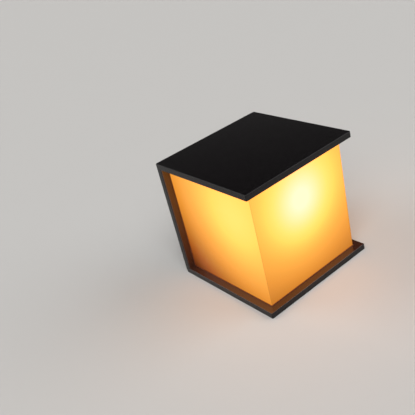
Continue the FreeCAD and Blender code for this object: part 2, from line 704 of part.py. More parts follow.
def centre_contact():
    """The leaf spring that touches the lamp's tip."""
    low = SOCKET_FLOOR + CONTACT_THICK / 2
    high = BUTTON_REAR - CONTACT_FIT - CONTACT_THICK / 2
    line = [(-CONTACT_HALF, low), (-CONTACT_HALF / 3, low), (CONTACT_HALF / 3, high), (CONTACT_HALF, high)]
    half = CONTACT_WIDE / 2
    return folded_strip(line, CONTACT_THICK, 2 * CONTACT_THICK, LAMP_Z - half, LAMP_Z + half)


def lampholder_screws():
    """Screws from behind the bridge into the lampholder's base."""
    screws = []
    for side in (-1, 1):
        driven = screw(M3, BRIDGE_THICK + HOLDER_SCREW_LONG - TAP_END)
        driven.rotate(V(0, 0, 0), V(1, 0, 0), 90)
        driven.translate(at(side * HOLDER_SCREW_X, BRIDGE_FACE - BRIDGE_THICK, LAMP_Z))
        screws.append(driven)
    return screws


# ---------------------------------------------------------------- LED lamp
def bulb_cap():
    """The lamp's screw cap."""
    return rod(CAP_R, CAP_REAR, NECK_D, 0, LAMP_Z)


def bulb_insulator():
    """The glassy cone between the cap and the tip."""
    return Part.makeCone(CAP_TIP_R, CAP_R, INSULATOR_LONG, at(0, INSULATOR_REAR, LAMP_Z), V(0, -1, 0))


def bulb_contact():
    """The contact at the lamp's tip."""
    button = rod(CAP_TIP_R, BUTTON_REAR, INSULATOR_REAR, 0, LAMP_Z)
    quarter = BUTTON_LONG / 4
    tip = [edge for edge in button.Edges if edge.BoundBox.YMin > -BUTTON_REAR - quarter]
    return button.makeChamfer(BUTTON_LONG / 2, tip)


def bulb_housing():
    """The lamp's flared housing: hollowed outside, conical inside, with a stepped seat for the LED board."""
    hollow = (GLOBE_RIM_R - NECK_R) / 8
    neck = at(0, NECK_D, LAMP_Z + NECK_R)
    middle = at(0, (NECK_D + RIM_D) / 2, LAMP_Z + (NECK_R + GLOBE_RIM_R) / 2 - hollow)
    rim = at(0, RIM_D, LAMP_Z + GLOBE_RIM_R)
    edges = [
        Part.Arc(neck, middle, rim).toShape(),
        Part.LineSegment(rim, at(0, RIM_D, LAMP_Z)).toShape(),
        Part.LineSegment(at(0, RIM_D, LAMP_Z), at(0, NECK_D, LAMP_Z)).toShape(),
        Part.LineSegment(at(0, NECK_D, LAMP_Z), neck).toShape(),
    ]
    body = Part.Face(Part.Wire(edges)).revolve(at(0, 0, LAMP_Z), V(0, 1, 0), 360)
    floor = NECK_D + HOUSING_WALL
    wide = GLOBE_RIM_R - 2 * HOUSING_WALL
    room = Part.makeCone(NECK_R - HOUSING_WALL, wide, RIM_D - floor, at(0, floor, LAMP_Z), V(0, -1, 0))
    seat = rod(GLOBE_RIM_R - HOUSING_RIM, RIM_D - BOARD_THICK, RIM_D + 1, 0, LAMP_Z)
    return cut(body, [room, seat])


def led_board():
    """The round board in its seat in the housing's rim."""
    return rod(GLOBE_RIM_R - HOUSING_RIM - BOARD_FIT, RIM_D - BOARD_THICK, RIM_D, 0, LAMP_Z)


def led_chips():
    """A ring of LED packages on the board."""
    chips = []
    for i in range(CHIP_COUNT):
        chip = block(-CHIP_WIDE / 2, CHIP_WIDE / 2, RIM_D, RIM_D + CHIP_TALL, -CHIP_LONG / 2, CHIP_LONG / 2)
        chip.translate(V(0, 0, CHIP_RING_R))
        chip.rotate(V(0, 0, 0), V(0, 1, 0), 360 * i / CHIP_COUNT)
        chip.translate(V(0, 0, LAMP_Z))
        chips.append(chip)
    return chips


def bulb_globe():
    """The lamp's opal globe, open towards the housing."""
    centre = at(0, GLOBE_D, LAMP_Z)
    outer = Part.makeSphere(GLOBE_R, centre, V(0, -1, 0))
    inner = Part.makeSphere(GLOBE_R - GLOBE_WALL, centre, V(0, -1, 0))
    behind = block(-2 * GLOBE_R, 2 * GLOBE_R, 0, RIM_D, -HEIGHT, HEIGHT)
    return cut(outer, [inner, behind])


# ---------------------------------------------------------------- terminal block and leads
def block_screw_zs():
    """Heights of the two screws between the poles."""
    return [(POLE_ZS[i] + POLE_ZS[i + 1]) / 2 for i in range(POLES - 1)]


def terminal_block():
    """A moulded three-pole block: one tower for each pole on a shared foot."""
    gap = (POLE_PITCH - POLE_WIDE) / 2
    base = TRAY_FACE + BLOCK_BASE
    top = TRAY_FACE + BLOCK_TALL
    foot = block(-BLOCK_HALF_X, BLOCK_HALF_X, TRAY_FACE, base, BLOCK_BOTTOM_Z + gap, BLOCK_TOP_Z - gap)
    towers = []
    holes = []
    for z in block_screw_zs():
        holes.append(rod(M3["shank"] + SCREW_FIT, TRAY_FACE - 1, top + 1, 0, z))
        holes.append(rod(M3["head"] + SCREW_FIT, base, top + 1, 0, z))
    room = CLAMP_SIDE / 2 + CLAMP_FIT
    side_x = BLOCK_HALF_X + 1
    for z in POLE_ZS:
        half = POLE_WIDE / 2
        towers.append(block(-BLOCK_HALF_X, BLOCK_HALF_X, TRAY_FACE, top, z - half, z + half))
        holes.append(block(-side_x, side_x, CLAMP_D - room, CLAMP_D + room, z - room, z + room))
        holes += [rod(WELL_R, CLAMP_D, top + 1, x, z) for x in (-PINCH_SCREW_X, PINCH_SCREW_X)]
    return cut(joined([foot, *towers]), holes)


def terminal_clamps():
    """Brass clamps, one in each pole: a square tube along X, tapped for two pinch screws."""
    clamps = []
    half = CLAMP_SIDE / 2
    bore = CLAMP_BORE / 2
    end = CLAMP_HALF_X + 1
    for z in POLE_ZS:
        bar = block(-CLAMP_HALF_X, CLAMP_HALF_X, CLAMP_D - half, CLAMP_D + half, z - half, z + half)
        holes = [block(-end, end, CLAMP_D - bore, CLAMP_D + bore, z - bore, z + bore)]
        for x in (-PINCH_SCREW_X, PINCH_SCREW_X):
            holes.append(rod(PINCH_R + THREAD_FIT, CLAMP_D, CLAMP_D + CLAMP_SIDE, x, z))
        clamps.append(cut(bar, holes))
    return clamps


def terminal_screws():
    """The pinch screws, slotted, just inside the towers' wells."""
    front = TRAY_FACE + BLOCK_TALL - PINCH_SUNK
    slit = PINCH_R / 4
    screws = []
    for z in POLE_ZS:
        for x in (-PINCH_SCREW_X, PINCH_SCREW_X):
            reach = PINCH_R + 1
            groove = block(x - reach, x + reach, front - 2 * slit, front + 1, z - slit, z + slit)
            screws.append(rod(PINCH_R, CLAMP_D, front, x, z).cut(groove))
    return screws


def block_screws():
    """Screws that hold the terminal block on the tray."""
    seat = TRAY_FACE + BLOCK_BASE
    length = BLOCK_BASE + TRAY_THICK + TRAY_STANDOFF / 2
    return [screw_to_wall(M3, length, 0, seat, z) for z in block_screw_zs()]


def live_lead():
    """From the first pole up to the lampholder's lower hole."""
    z = POLE_ZS[0]
    end_z = LAMP_Z - LEAD_HOLE_OUT
    under_d = CLAMP_D - LEAD_DIP
    route = [
        at(LEAD_START_X, CLAMP_D, z),
        at(BLOCK_HALF_X + LIVE_OUT, CLAMP_D, z),
        at(BLOCK_HALF_X + LIVE_OUT, under_d, end_z - RISE_SHORT),
        at(0, under_d, end_z - RISE_SHORT + SLANT_LONG),
        at(0, under_d, end_z),
        at(0, SOCKET_FLOOR - LEAD_SHORT, end_z),
    ]
    return tube(route, [LEAD_BEND, LEAD_SWEEP, LEAD_SWEEP, LEAD_BEND], LEAD_R)


def neutral_lead():
    """From the second pole past the live lead to the lampholder's upper hole."""
    z = POLE_ZS[1]
    low_z = LAMP_Z - LEAD_HOLE_OUT
    end_z = LAMP_Z + LEAD_HOLE_OUT
    under_d = CLAMP_D - LEAD_DIP
    route = [
        at(LEAD_START_X, CLAMP_D, z),
        at(BLOCK_HALF_X + NEUTRAL_OUT, CLAMP_D, z),
        at(BLOCK_HALF_X + NEUTRAL_OUT, under_d, low_z - RISE_SHORT),
        at(NEUTRAL_ASIDE, under_d, low_z - RISE_SHORT + SLANT_LONG),
        at(NEUTRAL_ASIDE, under_d, low_z + LEAD_BEND),
        at(0, under_d, end_z),
        at(0, SOCKET_FLOOR - LEAD_SHORT, end_z),
    ]
    return tube(route, [LEAD_BEND, LEAD_SWEEP, LEAD_SWEEP, LEAD_BEND, LEAD_BEND], LEAD_R)


def earth_lead():
    """From the third pole to the earth screw's lug."""
    z = POLE_ZS[2]
    sleeve = EARTH_X - EARTH_RING_R - EARTH_SLEEVE_LONG
    sleeve_d = TRAY_FACE + EARTH_SLEEVE_R
    route = [
        at(LEAD_START_X, CLAMP_D, z),
        at(BLOCK_HALF_X + EARTH_OUT, CLAMP_D, z),
        at(sleeve - LEAD_R, sleeve_d, EARTH_Z),
        at(sleeve + EARTH_SLEEVE_LONG - LEAD_R, sleeve_d, EARTH_Z),
    ]
    return tube(route, [LEAD_BEND, LEAD_BEND], LEAD_R)


def earth_lug():
    """The ring terminal crimped on the earth lead."""
    ring = rod(EARTH_RING_R, TRAY_FACE, TRAY_FACE + LUG_PLATE, EARTH_X, EARTH_Z)
    start = EARTH_X - EARTH_RING_R - EARTH_SLEEVE_LONG
    sleeve_d = TRAY_FACE + EARTH_SLEEVE_R
    sleeve = cross_bar(EARTH_SLEEVE_R, start, start + EARTH_SLEEVE_LONG, sleeve_d, EARTH_Z)
    end = start + EARTH_SLEEVE_LONG
    half = EARTH_SLEEVE_R
    neck = block(end - half, EARTH_X, TRAY_FACE, TRAY_FACE + LUG_PLATE, EARTH_Z - half, EARTH_Z + half)
    bore = cross_bar(LEAD_R + THREAD_FIT, start - 1, end + 1, sleeve_d, EARTH_Z)
    hole = rod(M4["shank"] + SCREW_FIT, TRAY_REAR, TRAY_FACE + LUG_PLATE + 1, EARTH_X, EARTH_Z)
    return cut(joined([ring, neck, sleeve]), [bore, hole])


def earth_screw():
    """The screw that bonds the earth lug and the tray to the casting."""
    seat = TRAY_FACE + LUG_PLATE
    return screw_to_wall(M4, seat - BACK_FRONT, EARTH_X, seat, EARTH_Z)


# ---------------------------------------------------------------- the light
NODES = {
    "top_cover": top_cover,
    "base_plate": base_plate,
    "back_plate": back_plate,
    "cover_screws": cover_screws,
    "base_screws": base_screws,
    "front_panel": front_panel,
    "right_panel": right_panel,
    "left_panel": lambda: facing_left(right_panel()),
    "upper_gasket": upper_gasket,
    "lower_gasket": lambda: turned_over(upper_gasket()),
    "right_rear_gasket": right_rear_gasket,
    "left_rear_gasket": lambda: facing_left(right_rear_gasket()),
    "wall_seal": wall_seal,
    "wall_bracket": wall_bracket,
    "bracket_washers": bracket_washers,
    "bracket_screws": bracket_screws,
    "cable_grommet": cable_grommet,
    "gear_tray": gear_tray,
    "tray_screws": tray_screws,
    "lampholder_bracket": lampholder_bracket,
    "lampholder_bracket_screws": lampholder_bracket_screws,
    "lampholder": lampholder,
    "screw_shell": screw_shell,
    "centre_contact": centre_contact,
    "lampholder_screws": lampholder_screws,
    "bulb_cap": bulb_cap,
    "bulb_insulator": bulb_insulator,
    "bulb_contact": bulb_contact,
    "bulb_housing": bulb_housing,
    "led_board": led_board,
    "led_chips": led_chips,
    "bulb_globe": bulb_globe,
    "terminal_block": terminal_block,
    "terminal_clamps": terminal_clamps,
    "terminal_screws": terminal_screws,
    "block_screws": block_screws,
    "live_lead": live_lead,
    "neutral_lead": neutral_lead,
    "earth_lead": earth_lead,
    "earth_lug": earth_lug,
    "earth_screw": earth_screw,
}

os.makedirs("parts", exist_ok=True)
for name, make in NODES.items():
    made = make()
    solids = made if isinstance(made, list) else made.Solids
    shape = Part.Compound(solids) if len(solids) > 1 else solids[0]
    if not shape.isValid():
        raise ValueError(f"{name} is not a valid shape")
    print(f"{name}: {len(solids)} solids, {sum(solid.Volume for solid in solids) / 1000:.2f} cm3")
    shape.exportStep(f"parts/{name}.step")
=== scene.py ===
# %% [markdown]
# # A lit cube light, dressed and photographed
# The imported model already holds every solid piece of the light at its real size: covers, panes, seals,
# strap, lampholder, lamp and leads. This lesson gives each of them the finish that the real piece has, adds
# the small bonded and moulded details that solids leave out, and photographs the light in a plain studio
# from the same side as the reference picture. Everything is in metres, in the model's own frame:
# X to the right as one faces the light, +Y into the wall, +Z up.

# %% Load the model
import json
import math

import bpy
from mathutils import Matrix, Quaternion, Vector


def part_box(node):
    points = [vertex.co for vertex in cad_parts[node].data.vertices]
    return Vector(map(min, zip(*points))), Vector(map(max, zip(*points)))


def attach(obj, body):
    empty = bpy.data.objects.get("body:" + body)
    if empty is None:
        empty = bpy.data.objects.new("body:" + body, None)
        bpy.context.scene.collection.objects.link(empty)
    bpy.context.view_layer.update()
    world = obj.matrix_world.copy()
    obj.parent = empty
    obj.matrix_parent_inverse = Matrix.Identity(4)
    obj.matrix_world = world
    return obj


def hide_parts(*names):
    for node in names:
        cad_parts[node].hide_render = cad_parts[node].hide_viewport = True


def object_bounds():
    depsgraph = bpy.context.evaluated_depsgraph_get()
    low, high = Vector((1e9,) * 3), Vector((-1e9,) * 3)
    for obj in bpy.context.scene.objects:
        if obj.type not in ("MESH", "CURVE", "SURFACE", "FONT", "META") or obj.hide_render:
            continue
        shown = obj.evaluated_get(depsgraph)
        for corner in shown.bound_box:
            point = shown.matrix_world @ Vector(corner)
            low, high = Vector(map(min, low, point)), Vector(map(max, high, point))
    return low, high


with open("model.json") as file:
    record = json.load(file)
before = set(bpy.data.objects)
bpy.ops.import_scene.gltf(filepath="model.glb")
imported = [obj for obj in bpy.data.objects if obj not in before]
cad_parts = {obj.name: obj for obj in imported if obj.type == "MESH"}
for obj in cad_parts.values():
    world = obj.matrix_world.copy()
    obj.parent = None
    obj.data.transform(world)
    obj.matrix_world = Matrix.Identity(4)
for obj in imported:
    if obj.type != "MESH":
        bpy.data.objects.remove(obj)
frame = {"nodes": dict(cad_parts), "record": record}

MM = 0.001  # sizes that come from a drawing are written in millimetres, times this
cad_low, cad_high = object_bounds()
print("model box in mm:", [round(v / MM, 1) for v in (cad_high - cad_low)])

# %% [markdown]
# ## Where the camera stands
# The picture was taken from the light's left front, from above, with the camera tilted to one side, so the
# light's upright edges lean. A camera is placed most simply by three facts: where it stands, the point it is
# aimed at, and how far it is rolled about its own line of sight. A longer lens than a phone's keeps the
# cube's edges nearly parallel, as they are in the picture.

# %% Camera
CAMERA_PLACE = Vector((-0.4736, -0.7079, 0.4323))
CAMERA_AIM = Vector((0.0, 0.0463, -0.0436))
CAMERA_ROLL = math.radians(-14.67)
LENS_MM = 53.0

bpy.ops.object.select_all(action="DESELECT")
bpy.ops.object.camera_add(location=CAMERA_PLACE)
camera = bpy.context.object
camera.rotation_mode = "QUATERNION"
level_view = (CAMERA_AIM - CAMERA_PLACE).to_track_quat("-Z", "Y")
camera.rotation_quaternion = level_view @ Quaternion((0, 0, 1), CAMERA_ROLL)
camera.data.lens = LENS_MM
bpy.context.scene.camera = camera
bpy.context.scene.view_settings.view_transform = "Standard"
print("camera distance in mm:", round((CAMERA_AIM - CAMERA_PLACE).length / MM))

# %% [markdown]
# ## The studio: a pale floor and soft light
# A plain pale floor shows the object's shadow and the warm light that it throws. The floor is one large
# plane under the base. It isn't part of the light.

# %% Floor
FLOOR_SIZE = 12.0  # metres across

bpy.ops.object.select_all(action="DESELECT")
bpy.ops.mesh.primitive_plane_add(size=FLOOR_SIZE, location=(0, 0, cad_low.z))
floor = bpy.context.object
floor.name = "floor"
print("floor height in mm:", round(cad_low.z / MM, 1))

# %% [markdown]
# Two helpers serve every material. Colours are written as the hex values that a colour picker shows, which
# are sRGB, and shaders want linear light, so one function turns the one into the other. The second adds a
# node, sets its properties and its sockets, and links a socket when it is given another node's output.

# %% Helpers for materials
def paint(hex_colour):
    """A colour picked as sRGB hex, as the linear RGBA that shaders want."""
    parts = [int(hex_colour[i : i + 2], 16) / 255 for i in (1, 3, 5)]
    linear = [c / 12.92 if c <= 0.04045 else ((c + 0.055) / 1.055) ** 2.4 for c in parts]
    return (*linear, 1.0)


def add_node(tree, kind, sockets=None, **settings):
    """A new node with its settings, and its sockets set or linked."""
    node = tree.nodes.new(kind)
    for name, value in settings.items():
        setattr(node, name, value)
    for name, value in (sockets or {}).items():
        if isinstance(value, bpy.types.NodeSocket):
            tree.links.new(value, node.inputs[name])
        else:
            node.inputs[name].default_value = value
    return node


# %% [markdown]
# Three broad soft lights, as from far-off white screens, stand round the object: a key at the left front, a
# weaker fill at the right and one at the left rear. A sun lamp with a wide angle is such a light, and it
# lights near and far floor alike. None stands where the flat top would mirror it into the camera. Together
# they bring a matt level surface to about its own written colour.

# %% Soft lights
SOFT_LIGHTS = {
    # name: (where it shines from, spread in degrees, strength)
    "key": ((-1.0, -1.2, 1.6), 50, 2.4),
    "fill": ((1.3, -0.9, 1.1), 50, 1.1),
    "rear": ((-1.0, 1.2, 1.1), 40, 0.8),
}

level = 0.0
for name, (source, spread, strength) in SOFT_LIGHTS.items():
    bpy.ops.object.light_add(type="SUN", location=source)
    lamp = bpy.context.object
    lamp.name = name
    lamp.data.angle = math.radians(spread)
    lamp.data.energy = strength
    lamp.rotation_euler = (-Vector(source)).to_track_quat("-Z", "Y").to_euler()
    level += strength * Vector(source).normalized().z / math.pi
print("share of its colour that a level white surface shows:", round(level, 2))

# %% [markdown]
# The floor is a painted board: matt, pale and even. The sky is a ring of the same pale grey at the horizon
# that darkens overhead, like a studio with white walls and a dark ceiling. The light's flat top mirrors
# what is above it, and under an all-white sky even black paint looks grey.

# %% Floor paint and sky
PALE = "#CCCAC7"
CEILING = "#202022"
WALL_TOP = 0.06  # sine of the elevation where the pale wall ends
CEILING_FROM = 0.36  # sine of the elevation above which all is ceiling
SKY_SHARE = 1.06  # the wall is lit as the floor is: by the lamps, and a little by the sky itself

floor_paint = bpy.data.materials.new("pale_matt_board")
floor_paint.use_nodes = True
floor_shader = floor_paint.node_tree.nodes["Principled BSDF"]
floor_shader.inputs["Base Color"].default_value = paint(PALE)
floor_shader.inputs["Roughness"].default_value = 0.9
floor_shader.inputs["Specular IOR Level"].default_value = 0.1
floor.data.materials.append(floor_paint)

world = bpy.data.worlds.new("studio")
world.use_nodes = True
bpy.context.scene.world = world
sky = world.node_tree
direction = add_node(sky, "ShaderNodeTexCoord").outputs["Generated"]
height = add_node(sky, "ShaderNodeSeparateXYZ", {0: direction}).outputs["Z"]
sky_tones = add_node(sky, "ShaderNodeValToRGB", {"Fac": height})
sky_tones.color_ramp.elements[0].position = WALL_TOP
sky_tones.color_ramp.elements[0].color = paint(PALE)
sky_tones.color_ramp.elements[1].position = CEILING_FROM
sky_tones.color_ramp.elements[1].color = paint(CEILING)
sky.links.new(sky_tones.outputs["Color"], sky.nodes["Background"].inputs["Color"])
sky.nodes["Background"].inputs["Strength"].default_value = level * SKY_SHARE
print("sky nodes:", len(sky.nodes))

# %% [markdown]
# ## From slots to finishes
# The record names a material slot for every node. A finish is made once for a slot and given to every node
# that uses it, so the three cover screws can't end up with different steels. Patterns are laid out in Object
# coordinates, which here are the model's own metres, so a grain of half a millimetre is one on every piece.

# %% Helpers for finishes
SLOT_OF = {row["node"]: row["material_slot"] for row in frame["record"]["subparts"]}
FINISH_OF = {}


def shader_input(finish, socket):
    """One input of a finish's main shader."""
    return finish.node_tree.nodes["Principled BSDF"].inputs[socket]


def new_finish(name, **shader):
    """A material with its constants on the shader's own sockets, given as Base_Color="#..." and so on."""
    finish = bpy.data.materials.new(name)
    finish.use_nodes = True
    for socket, value in shader.items():
        value = paint(value) if isinstance(value, str) else value
        shader_input(finish, socket.replace("_", " ")).default_value = value
    return finish


def wear(slot, finish):
    """Give a finish to every node that the record puts in a slot."""
    FINISH_OF[slot] = finish
    worn = [node for node, its_slot in SLOT_OF.items() if its_slot == slot]
    for node in worn:
        frame["nodes"][node].data.materials.clear()
        frame["nodes"][node].data.materials.append(finish)
    print(finish.name, "->", ", ".join(worn))


# %% [markdown]
# No real surface is one flat colour. Most of its life comes from three things laid over each other: patches
# of slightly different colour, patches of slightly different gloss, and relief too shallow to model. Each
# has a short helper here. A pattern is a random field whose patches have a size in millimetres, and it can
# be drawn out along an axis, as rolling and turning marks are.

# %% Helpers for colour, gloss and relief
PATTERN_LOW = 0.35  # nearly all of a random pattern lies between these two
PATTERN_HIGH = 0.65
MIX_FROM = 6  # a Mix node has sockets of several kinds under the same names: these are the colour ones
MIX_TO = 7
MIX_RESULT = 2


def patches(finish, size, detail=2.0, drawn=(1.0, 1.0, 1.0)):
    """A random pattern from 0 to 1 with patches this many millimetres across, drawn out along each axis."""
    tree = finish.node_tree
    place = add_node(tree, "ShaderNodeTexCoord").outputs["Object"]
    place = add_node(tree, "ShaderNodeVectorMath", {0: place, 1: drawn}, operation="DIVIDE").outputs[0]
    sockets = {"Vector": place, "Scale": 1 / (size * MM), "Detail": detail}
    return add_node(tree, "ShaderNodeTexNoise", sockets).outputs["Fac"]


def two_tone(finish, pattern, dark, light, start=PATTERN_LOW, end=PATTERN_HIGH):
    """Colour a finish from dark to light as a pattern goes from start to end."""
    tones = add_node(finish.node_tree, "ShaderNodeValToRGB", {"Fac": pattern})
    low, high = tones.color_ramp.elements
    low.position = start
    low.color = paint(dark)
    high.position = end
    high.color = paint(light)
    finish.node_tree.links.new(tones.outputs["Color"], shader_input(finish, "Base Color"))


def overlay(finish, mask, colour):
    """Lay a colour over a finish where a mask is 1."""
    base = shader_input(finish, "Base Color")
    sockets = {0: mask, MIX_FROM: base.links[0].from_socket, MIX_TO: paint(colour)}
    mix = add_node(finish.node_tree, "ShaderNodeMix", sockets, data_type="RGBA")
    finish.node_tree.links.new(mix.outputs[MIX_RESULT], base)


def uneven_gloss(finish, pattern, smooth, rough):
    """Let the roughness of a finish go from smooth to rough with a pattern."""
    sockets = {"Value": pattern, "From Min": PATTERN_LOW, "From Max": PATTERN_HIGH}
    sockets.update({"To Min": smooth, "To Max": rough})
    gloss = add_node(finish.node_tree, "ShaderNodeMapRange", sockets)
    finish.node_tree.links.new(gloss.outputs["Result"], shader_input(finish, "Roughness"))


def relief(finish, pattern, depth):
    """Raise a finish by a pattern, this many millimetres from low to high, over any relief it has."""
    normal = shader_input(finish, "Normal")
    sockets = {"Height": pattern, "Distance": depth * MM}
    if normal.is_linked:
        sockets["Normal"] = normal.links[0].from_socket
    bump = add_node(finish.node_tree, "ShaderNodeBump", sockets)
    finish.node_tree.links.new(bump.outputs["Normal"], normal)


# %% [markdown]
# ## Powder coat on cast aluminium
# The two covers and the back plate are castings with a baked polyester powder coat, satin and almost black.
# The powder melts into a skin with fine pits and a slow waviness that painters call orange peel. Both are
# relief in the shader, because they are thinner than a sheet of paper.

# %% Casting finish
coat = new_finish("satin_powder_coat_on_cast_aluminium")
pits = patches(coat, 0.7, detail=3.0)  # the powder's grain is finer still, drawn coarse enough to show
peel = patches(coat, 4.0)
two_tone(coat, pits, "#0B090A", "#120F10")
uneven_gloss(coat, peel, 0.2, 0.27)
relief(coat, pits, 0.008)
relief(coat, peel, 0.018)
wear("powder_coated_casting", coat)

# %% [markdown]
# A coat pulls away from sharp edges while it melts, and hands and ladders rub it there first, so a
# casting's edges are a shade lighter. For a box, a point's distance to each pair of faces is simple sums,
# and its distance to the nearest edge is the middle one of the three. So the wear is worked out from the
# top cover's own box, and the base plate, its mirror image, gets it too by leaving out the signs.

# %% Worn edges of the castings
WORN_REACH = 1.2 * MM
WORN_COLOUR = "#232122"

cover_low, cover_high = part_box("top_cover")
cover_middle = (cover_low + cover_high) / 2
cover_half = (cover_high - cover_low) / 2
tree = coat.node_tree
place = add_node(tree, "ShaderNodeTexCoord").outputs["Object"]
steps = (
    ("ABSOLUTE", None),
    ("SUBTRACT", [abs(v) for v in cover_middle]),
    ("ABSOLUTE", None),
    ("SUBTRACT", cover_half),
    ("ABSOLUTE", None),
)
for operation, other in steps:
    sockets = {0: place} if other is None else {0: place, 1: other}
    place = add_node(tree, "ShaderNodeVectorMath", sockets, operation=operation).outputs[0]
x, y, z = add_node(tree, "ShaderNodeSeparateXYZ", {0: place}).outputs
lower = add_node(tree, "ShaderNodeMath", {0: x, 1: y}, operation="MINIMUM").outputs[0]
upper = add_node(tree, "ShaderNodeMath", {0: x, 1: y}, operation="MAXIMUM").outputs[0]
upper = add_node(tree, "ShaderNodeMath", {0: upper, 1: z}, operation="MINIMUM").outputs[0]
to_edge = add_node(tree, "ShaderNodeMath", {0: lower, 1: upper}, operation="MAXIMUM").outputs[0]
sockets = {"Value": to_edge, "From Max": WORN_REACH, "To Min": 1.0, "To Max": 0.0}
nearness = add_node(tree, "ShaderNodeMapRange", sockets).outputs["Result"]
sockets = {0: nearness, 1: patches(coat, 5.0, detail=4.0)}
worn = add_node(tree, "ShaderNodeMath", sockets, operation="MULTIPLY").outputs[0]
overlay(coat, worn, WORN_COLOUR)
print("edges wear over", WORN_REACH / MM, "mm of a cover", [round(v / MM, 1) for v in 2 * cover_half])

# %% [markdown]
# Sun and rain dull a coat where they reach it. The ledges beside the panes lie sheltered between the covers
# and keep the gloss they left the works with, so seen at a slant they mirror the bright panes, and glow. A
# brown tint laid over their black is a painted glow: it stands in for the warm light that the lit panes
# throw
# on the ledges, and it covers every sheltered face of the coat. A face is sheltered where it looks inwards:
# its normal points against the line from the light's middle to it, and the dot product of the two is below
# zero. The well behind the back plate isn't meant, so 1 is added to the product there, which is far more
# than such a small light can reach.

# %% Sheltered and weathered faces
WEATHERED_SPECULAR = 0.3
SHELTERED_SPECULAR = 1.0
# share and colour of a painted glow: the warm light that the lit panes throw on the sheltered ledges
PANE_GLOW_PAINT_SHARE = 0.3
PANE_GLOW_PAINT_COLOUR = "#6E3A20"
BEHIND = -11 * MM  # what is nearer the wall than this lies behind the back plate's face
FADE = 1 * MM  # the product at which a face counts as fully sheltered or fully weathered

place = add_node(tree, "ShaderNodeTexCoord").outputs["Object"]
facing = add_node(tree, "ShaderNodeNewGeometry").outputs["Normal"]
sockets = {0: place, 1: (cad_low + cad_high) / 2}
outwards = add_node(tree, "ShaderNodeVectorMath", sockets, operation="SUBTRACT").outputs[0]
sockets = {0: outwards, 1: facing}
exposed = add_node(tree, "ShaderNodeVectorMath", sockets, operation="DOT_PRODUCT").outputs["Value"]
depth = add_node(tree, "ShaderNodeSeparateXYZ", {0: place}).outputs["Y"]
behind = add_node(tree, "ShaderNodeMath", {0: depth, 1: BEHIND}, operation="GREATER_THAN").outputs[0]
exposed = add_node(tree, "ShaderNodeMath", {0: exposed, 1: behind}, operation="ADD").outputs[0]


def by_shelter(sheltered, weathered):
    """A value that is one number on the coat's sheltered faces and another on its weathered ones."""
    sockets = {"Value": exposed, "From Min": -FADE, "From Max": FADE}
    sockets.update({"To Min": sheltered, "To Max": weathered})
    return add_node(coat.node_tree, "ShaderNodeMapRange", sockets).outputs["Result"]


specular = by_shelter(SHELTERED_SPECULAR, WEATHERED_SPECULAR)
tree.links.new(specular, shader_input(coat, "Specular IOR Level"))
# painted glow: a brown tint on the sheltered faces stands in for the panes' warm light on the ledges
overlay(coat, by_shelter(PANE_GLOW_PAINT_SHARE, 0.0), PANE_GLOW_PAINT_COLOUR)
print("specular level outside and on the ledges:", WEATHERED_SPECULAR, SHELTERED_SPECULAR)

# %% [markdown]
# ## The lit opal panes
# Each pane is opal acrylic, which scatters the lamp's light so evenly that the pane itself seems to glow.
# How bright a point is follows two laws that every lamp obeys: light thins out with the square of the
# distance, and it counts less where it lands at a slant. The white inside of the light adds a steady level,
# a little lower towards the base and the wall. Written as nodes, the same few lines light all three panes,
# and they meet at the corners as the real ones do: the side pane a little brighter, as it faces the lamp
# more squarely there.

# %% How much light reaches a point of a pane
GLOBE_PLACE = (0.0, -139.5 * MM, 37.3 * MM)
GLOW_REACH = 60 * MM  # distance at which the lamp, seen squarely, counts as 1
GLOW_STEADY = 0.522
FALL_TO_BASE = 0.883  # rise of the steady level for each metre up
FALL_TO_WALL = 0.613  # and for each metre from the wall


def glow_on(tree):
    """The socket that holds the light on a pane at each point of its surface."""
    place = add_node(tree, "ShaderNodeTexCoord").outputs["Object"]
    facing = add_node(tree, "ShaderNodeNewGeometry").outputs["Normal"]
    sockets = {0: place, 1: GLOBE_PLACE}
    ray = add_node(tree, "ShaderNodeVectorMath", sockets, operation="SUBTRACT").outputs[0]
    # straight from the lamp: reach squared times depth, over length cubed
    depth = add_node(tree, "ShaderNodeVectorMath", {0: ray, 1: facing}, operation="DOT_PRODUCT")
    sockets = {0: depth.outputs["Value"], 1: GLOW_REACH**2}
    scaled = add_node(tree, "ShaderNodeMath", sockets, operation="MULTIPLY")
    length = add_node(tree, "ShaderNodeVectorMath", {0: ray}, operation="LENGTH")
    cubed = add_node(tree, "ShaderNodeMath", {0: length.outputs["Value"], 1: 3}, operation="POWER")
    sockets = {0: scaled.outputs[0], 1: cubed.outputs[0]}
    direct = add_node(tree, "ShaderNodeMath", sockets, operation="DIVIDE")
    # thrown back by the white inside: a level that slopes with the place
    slope = (0.0, -FALL_TO_WALL, FALL_TO_BASE)
    sloping = add_node(tree, "ShaderNodeVectorMath", {0: place, 1: slope}, operation="DOT_PRODUCT")
    sockets = {0: sloping.outputs["Value"], 1: GLOW_STEADY}
    steady = add_node(tree, "ShaderNodeMath", sockets, operation="ADD")
    sockets = {0: direct.outputs[0], 1: steady.outputs[0]}
    return add_node(tree, "ShaderNodeMath", sockets, operation="ADD").outputs[0]


# %% [markdown]
# A warm lamp seen through opal acrylic doesn't just get brighter, it changes colour: brown where little
# light arrives, amber, then yellow, and nearly white in front of the lamp, where the eye or the camera is
# dazzled. Where red already shows as full, it is let past full brightness, as in the real light. It looks no
# brighter on the pane, but it falls on the dark ledges beside the panes and on the floor.

# %% Opal acrylic
GLOW_FULL = 2.7  # light at the end of the tone scale
GLOW_STRENGTH = 4.0  # a ramp's colours end at 1, so they are written as shares of this
RED_OVER_GREEN = 2.6
RED_IS_FULL = 0.985  # linear red above which the picture can't show more
GLOW_TONES = {
    # light on the pane: colour that shows
    0.49: "#4A1C08",
    0.55: "#A8571A",
    0.61: "#D08029",
    0.66: "#ED9632",
    0.72: "#FDA93F",
    0.76: "#FEB244",
    0.83: "#FFC24E",
    1.00: "#FFDF60",
    1.20: "#FFEB74",
    1.75: "#FFF6AA",
    2.40: "#FFFED0",
}

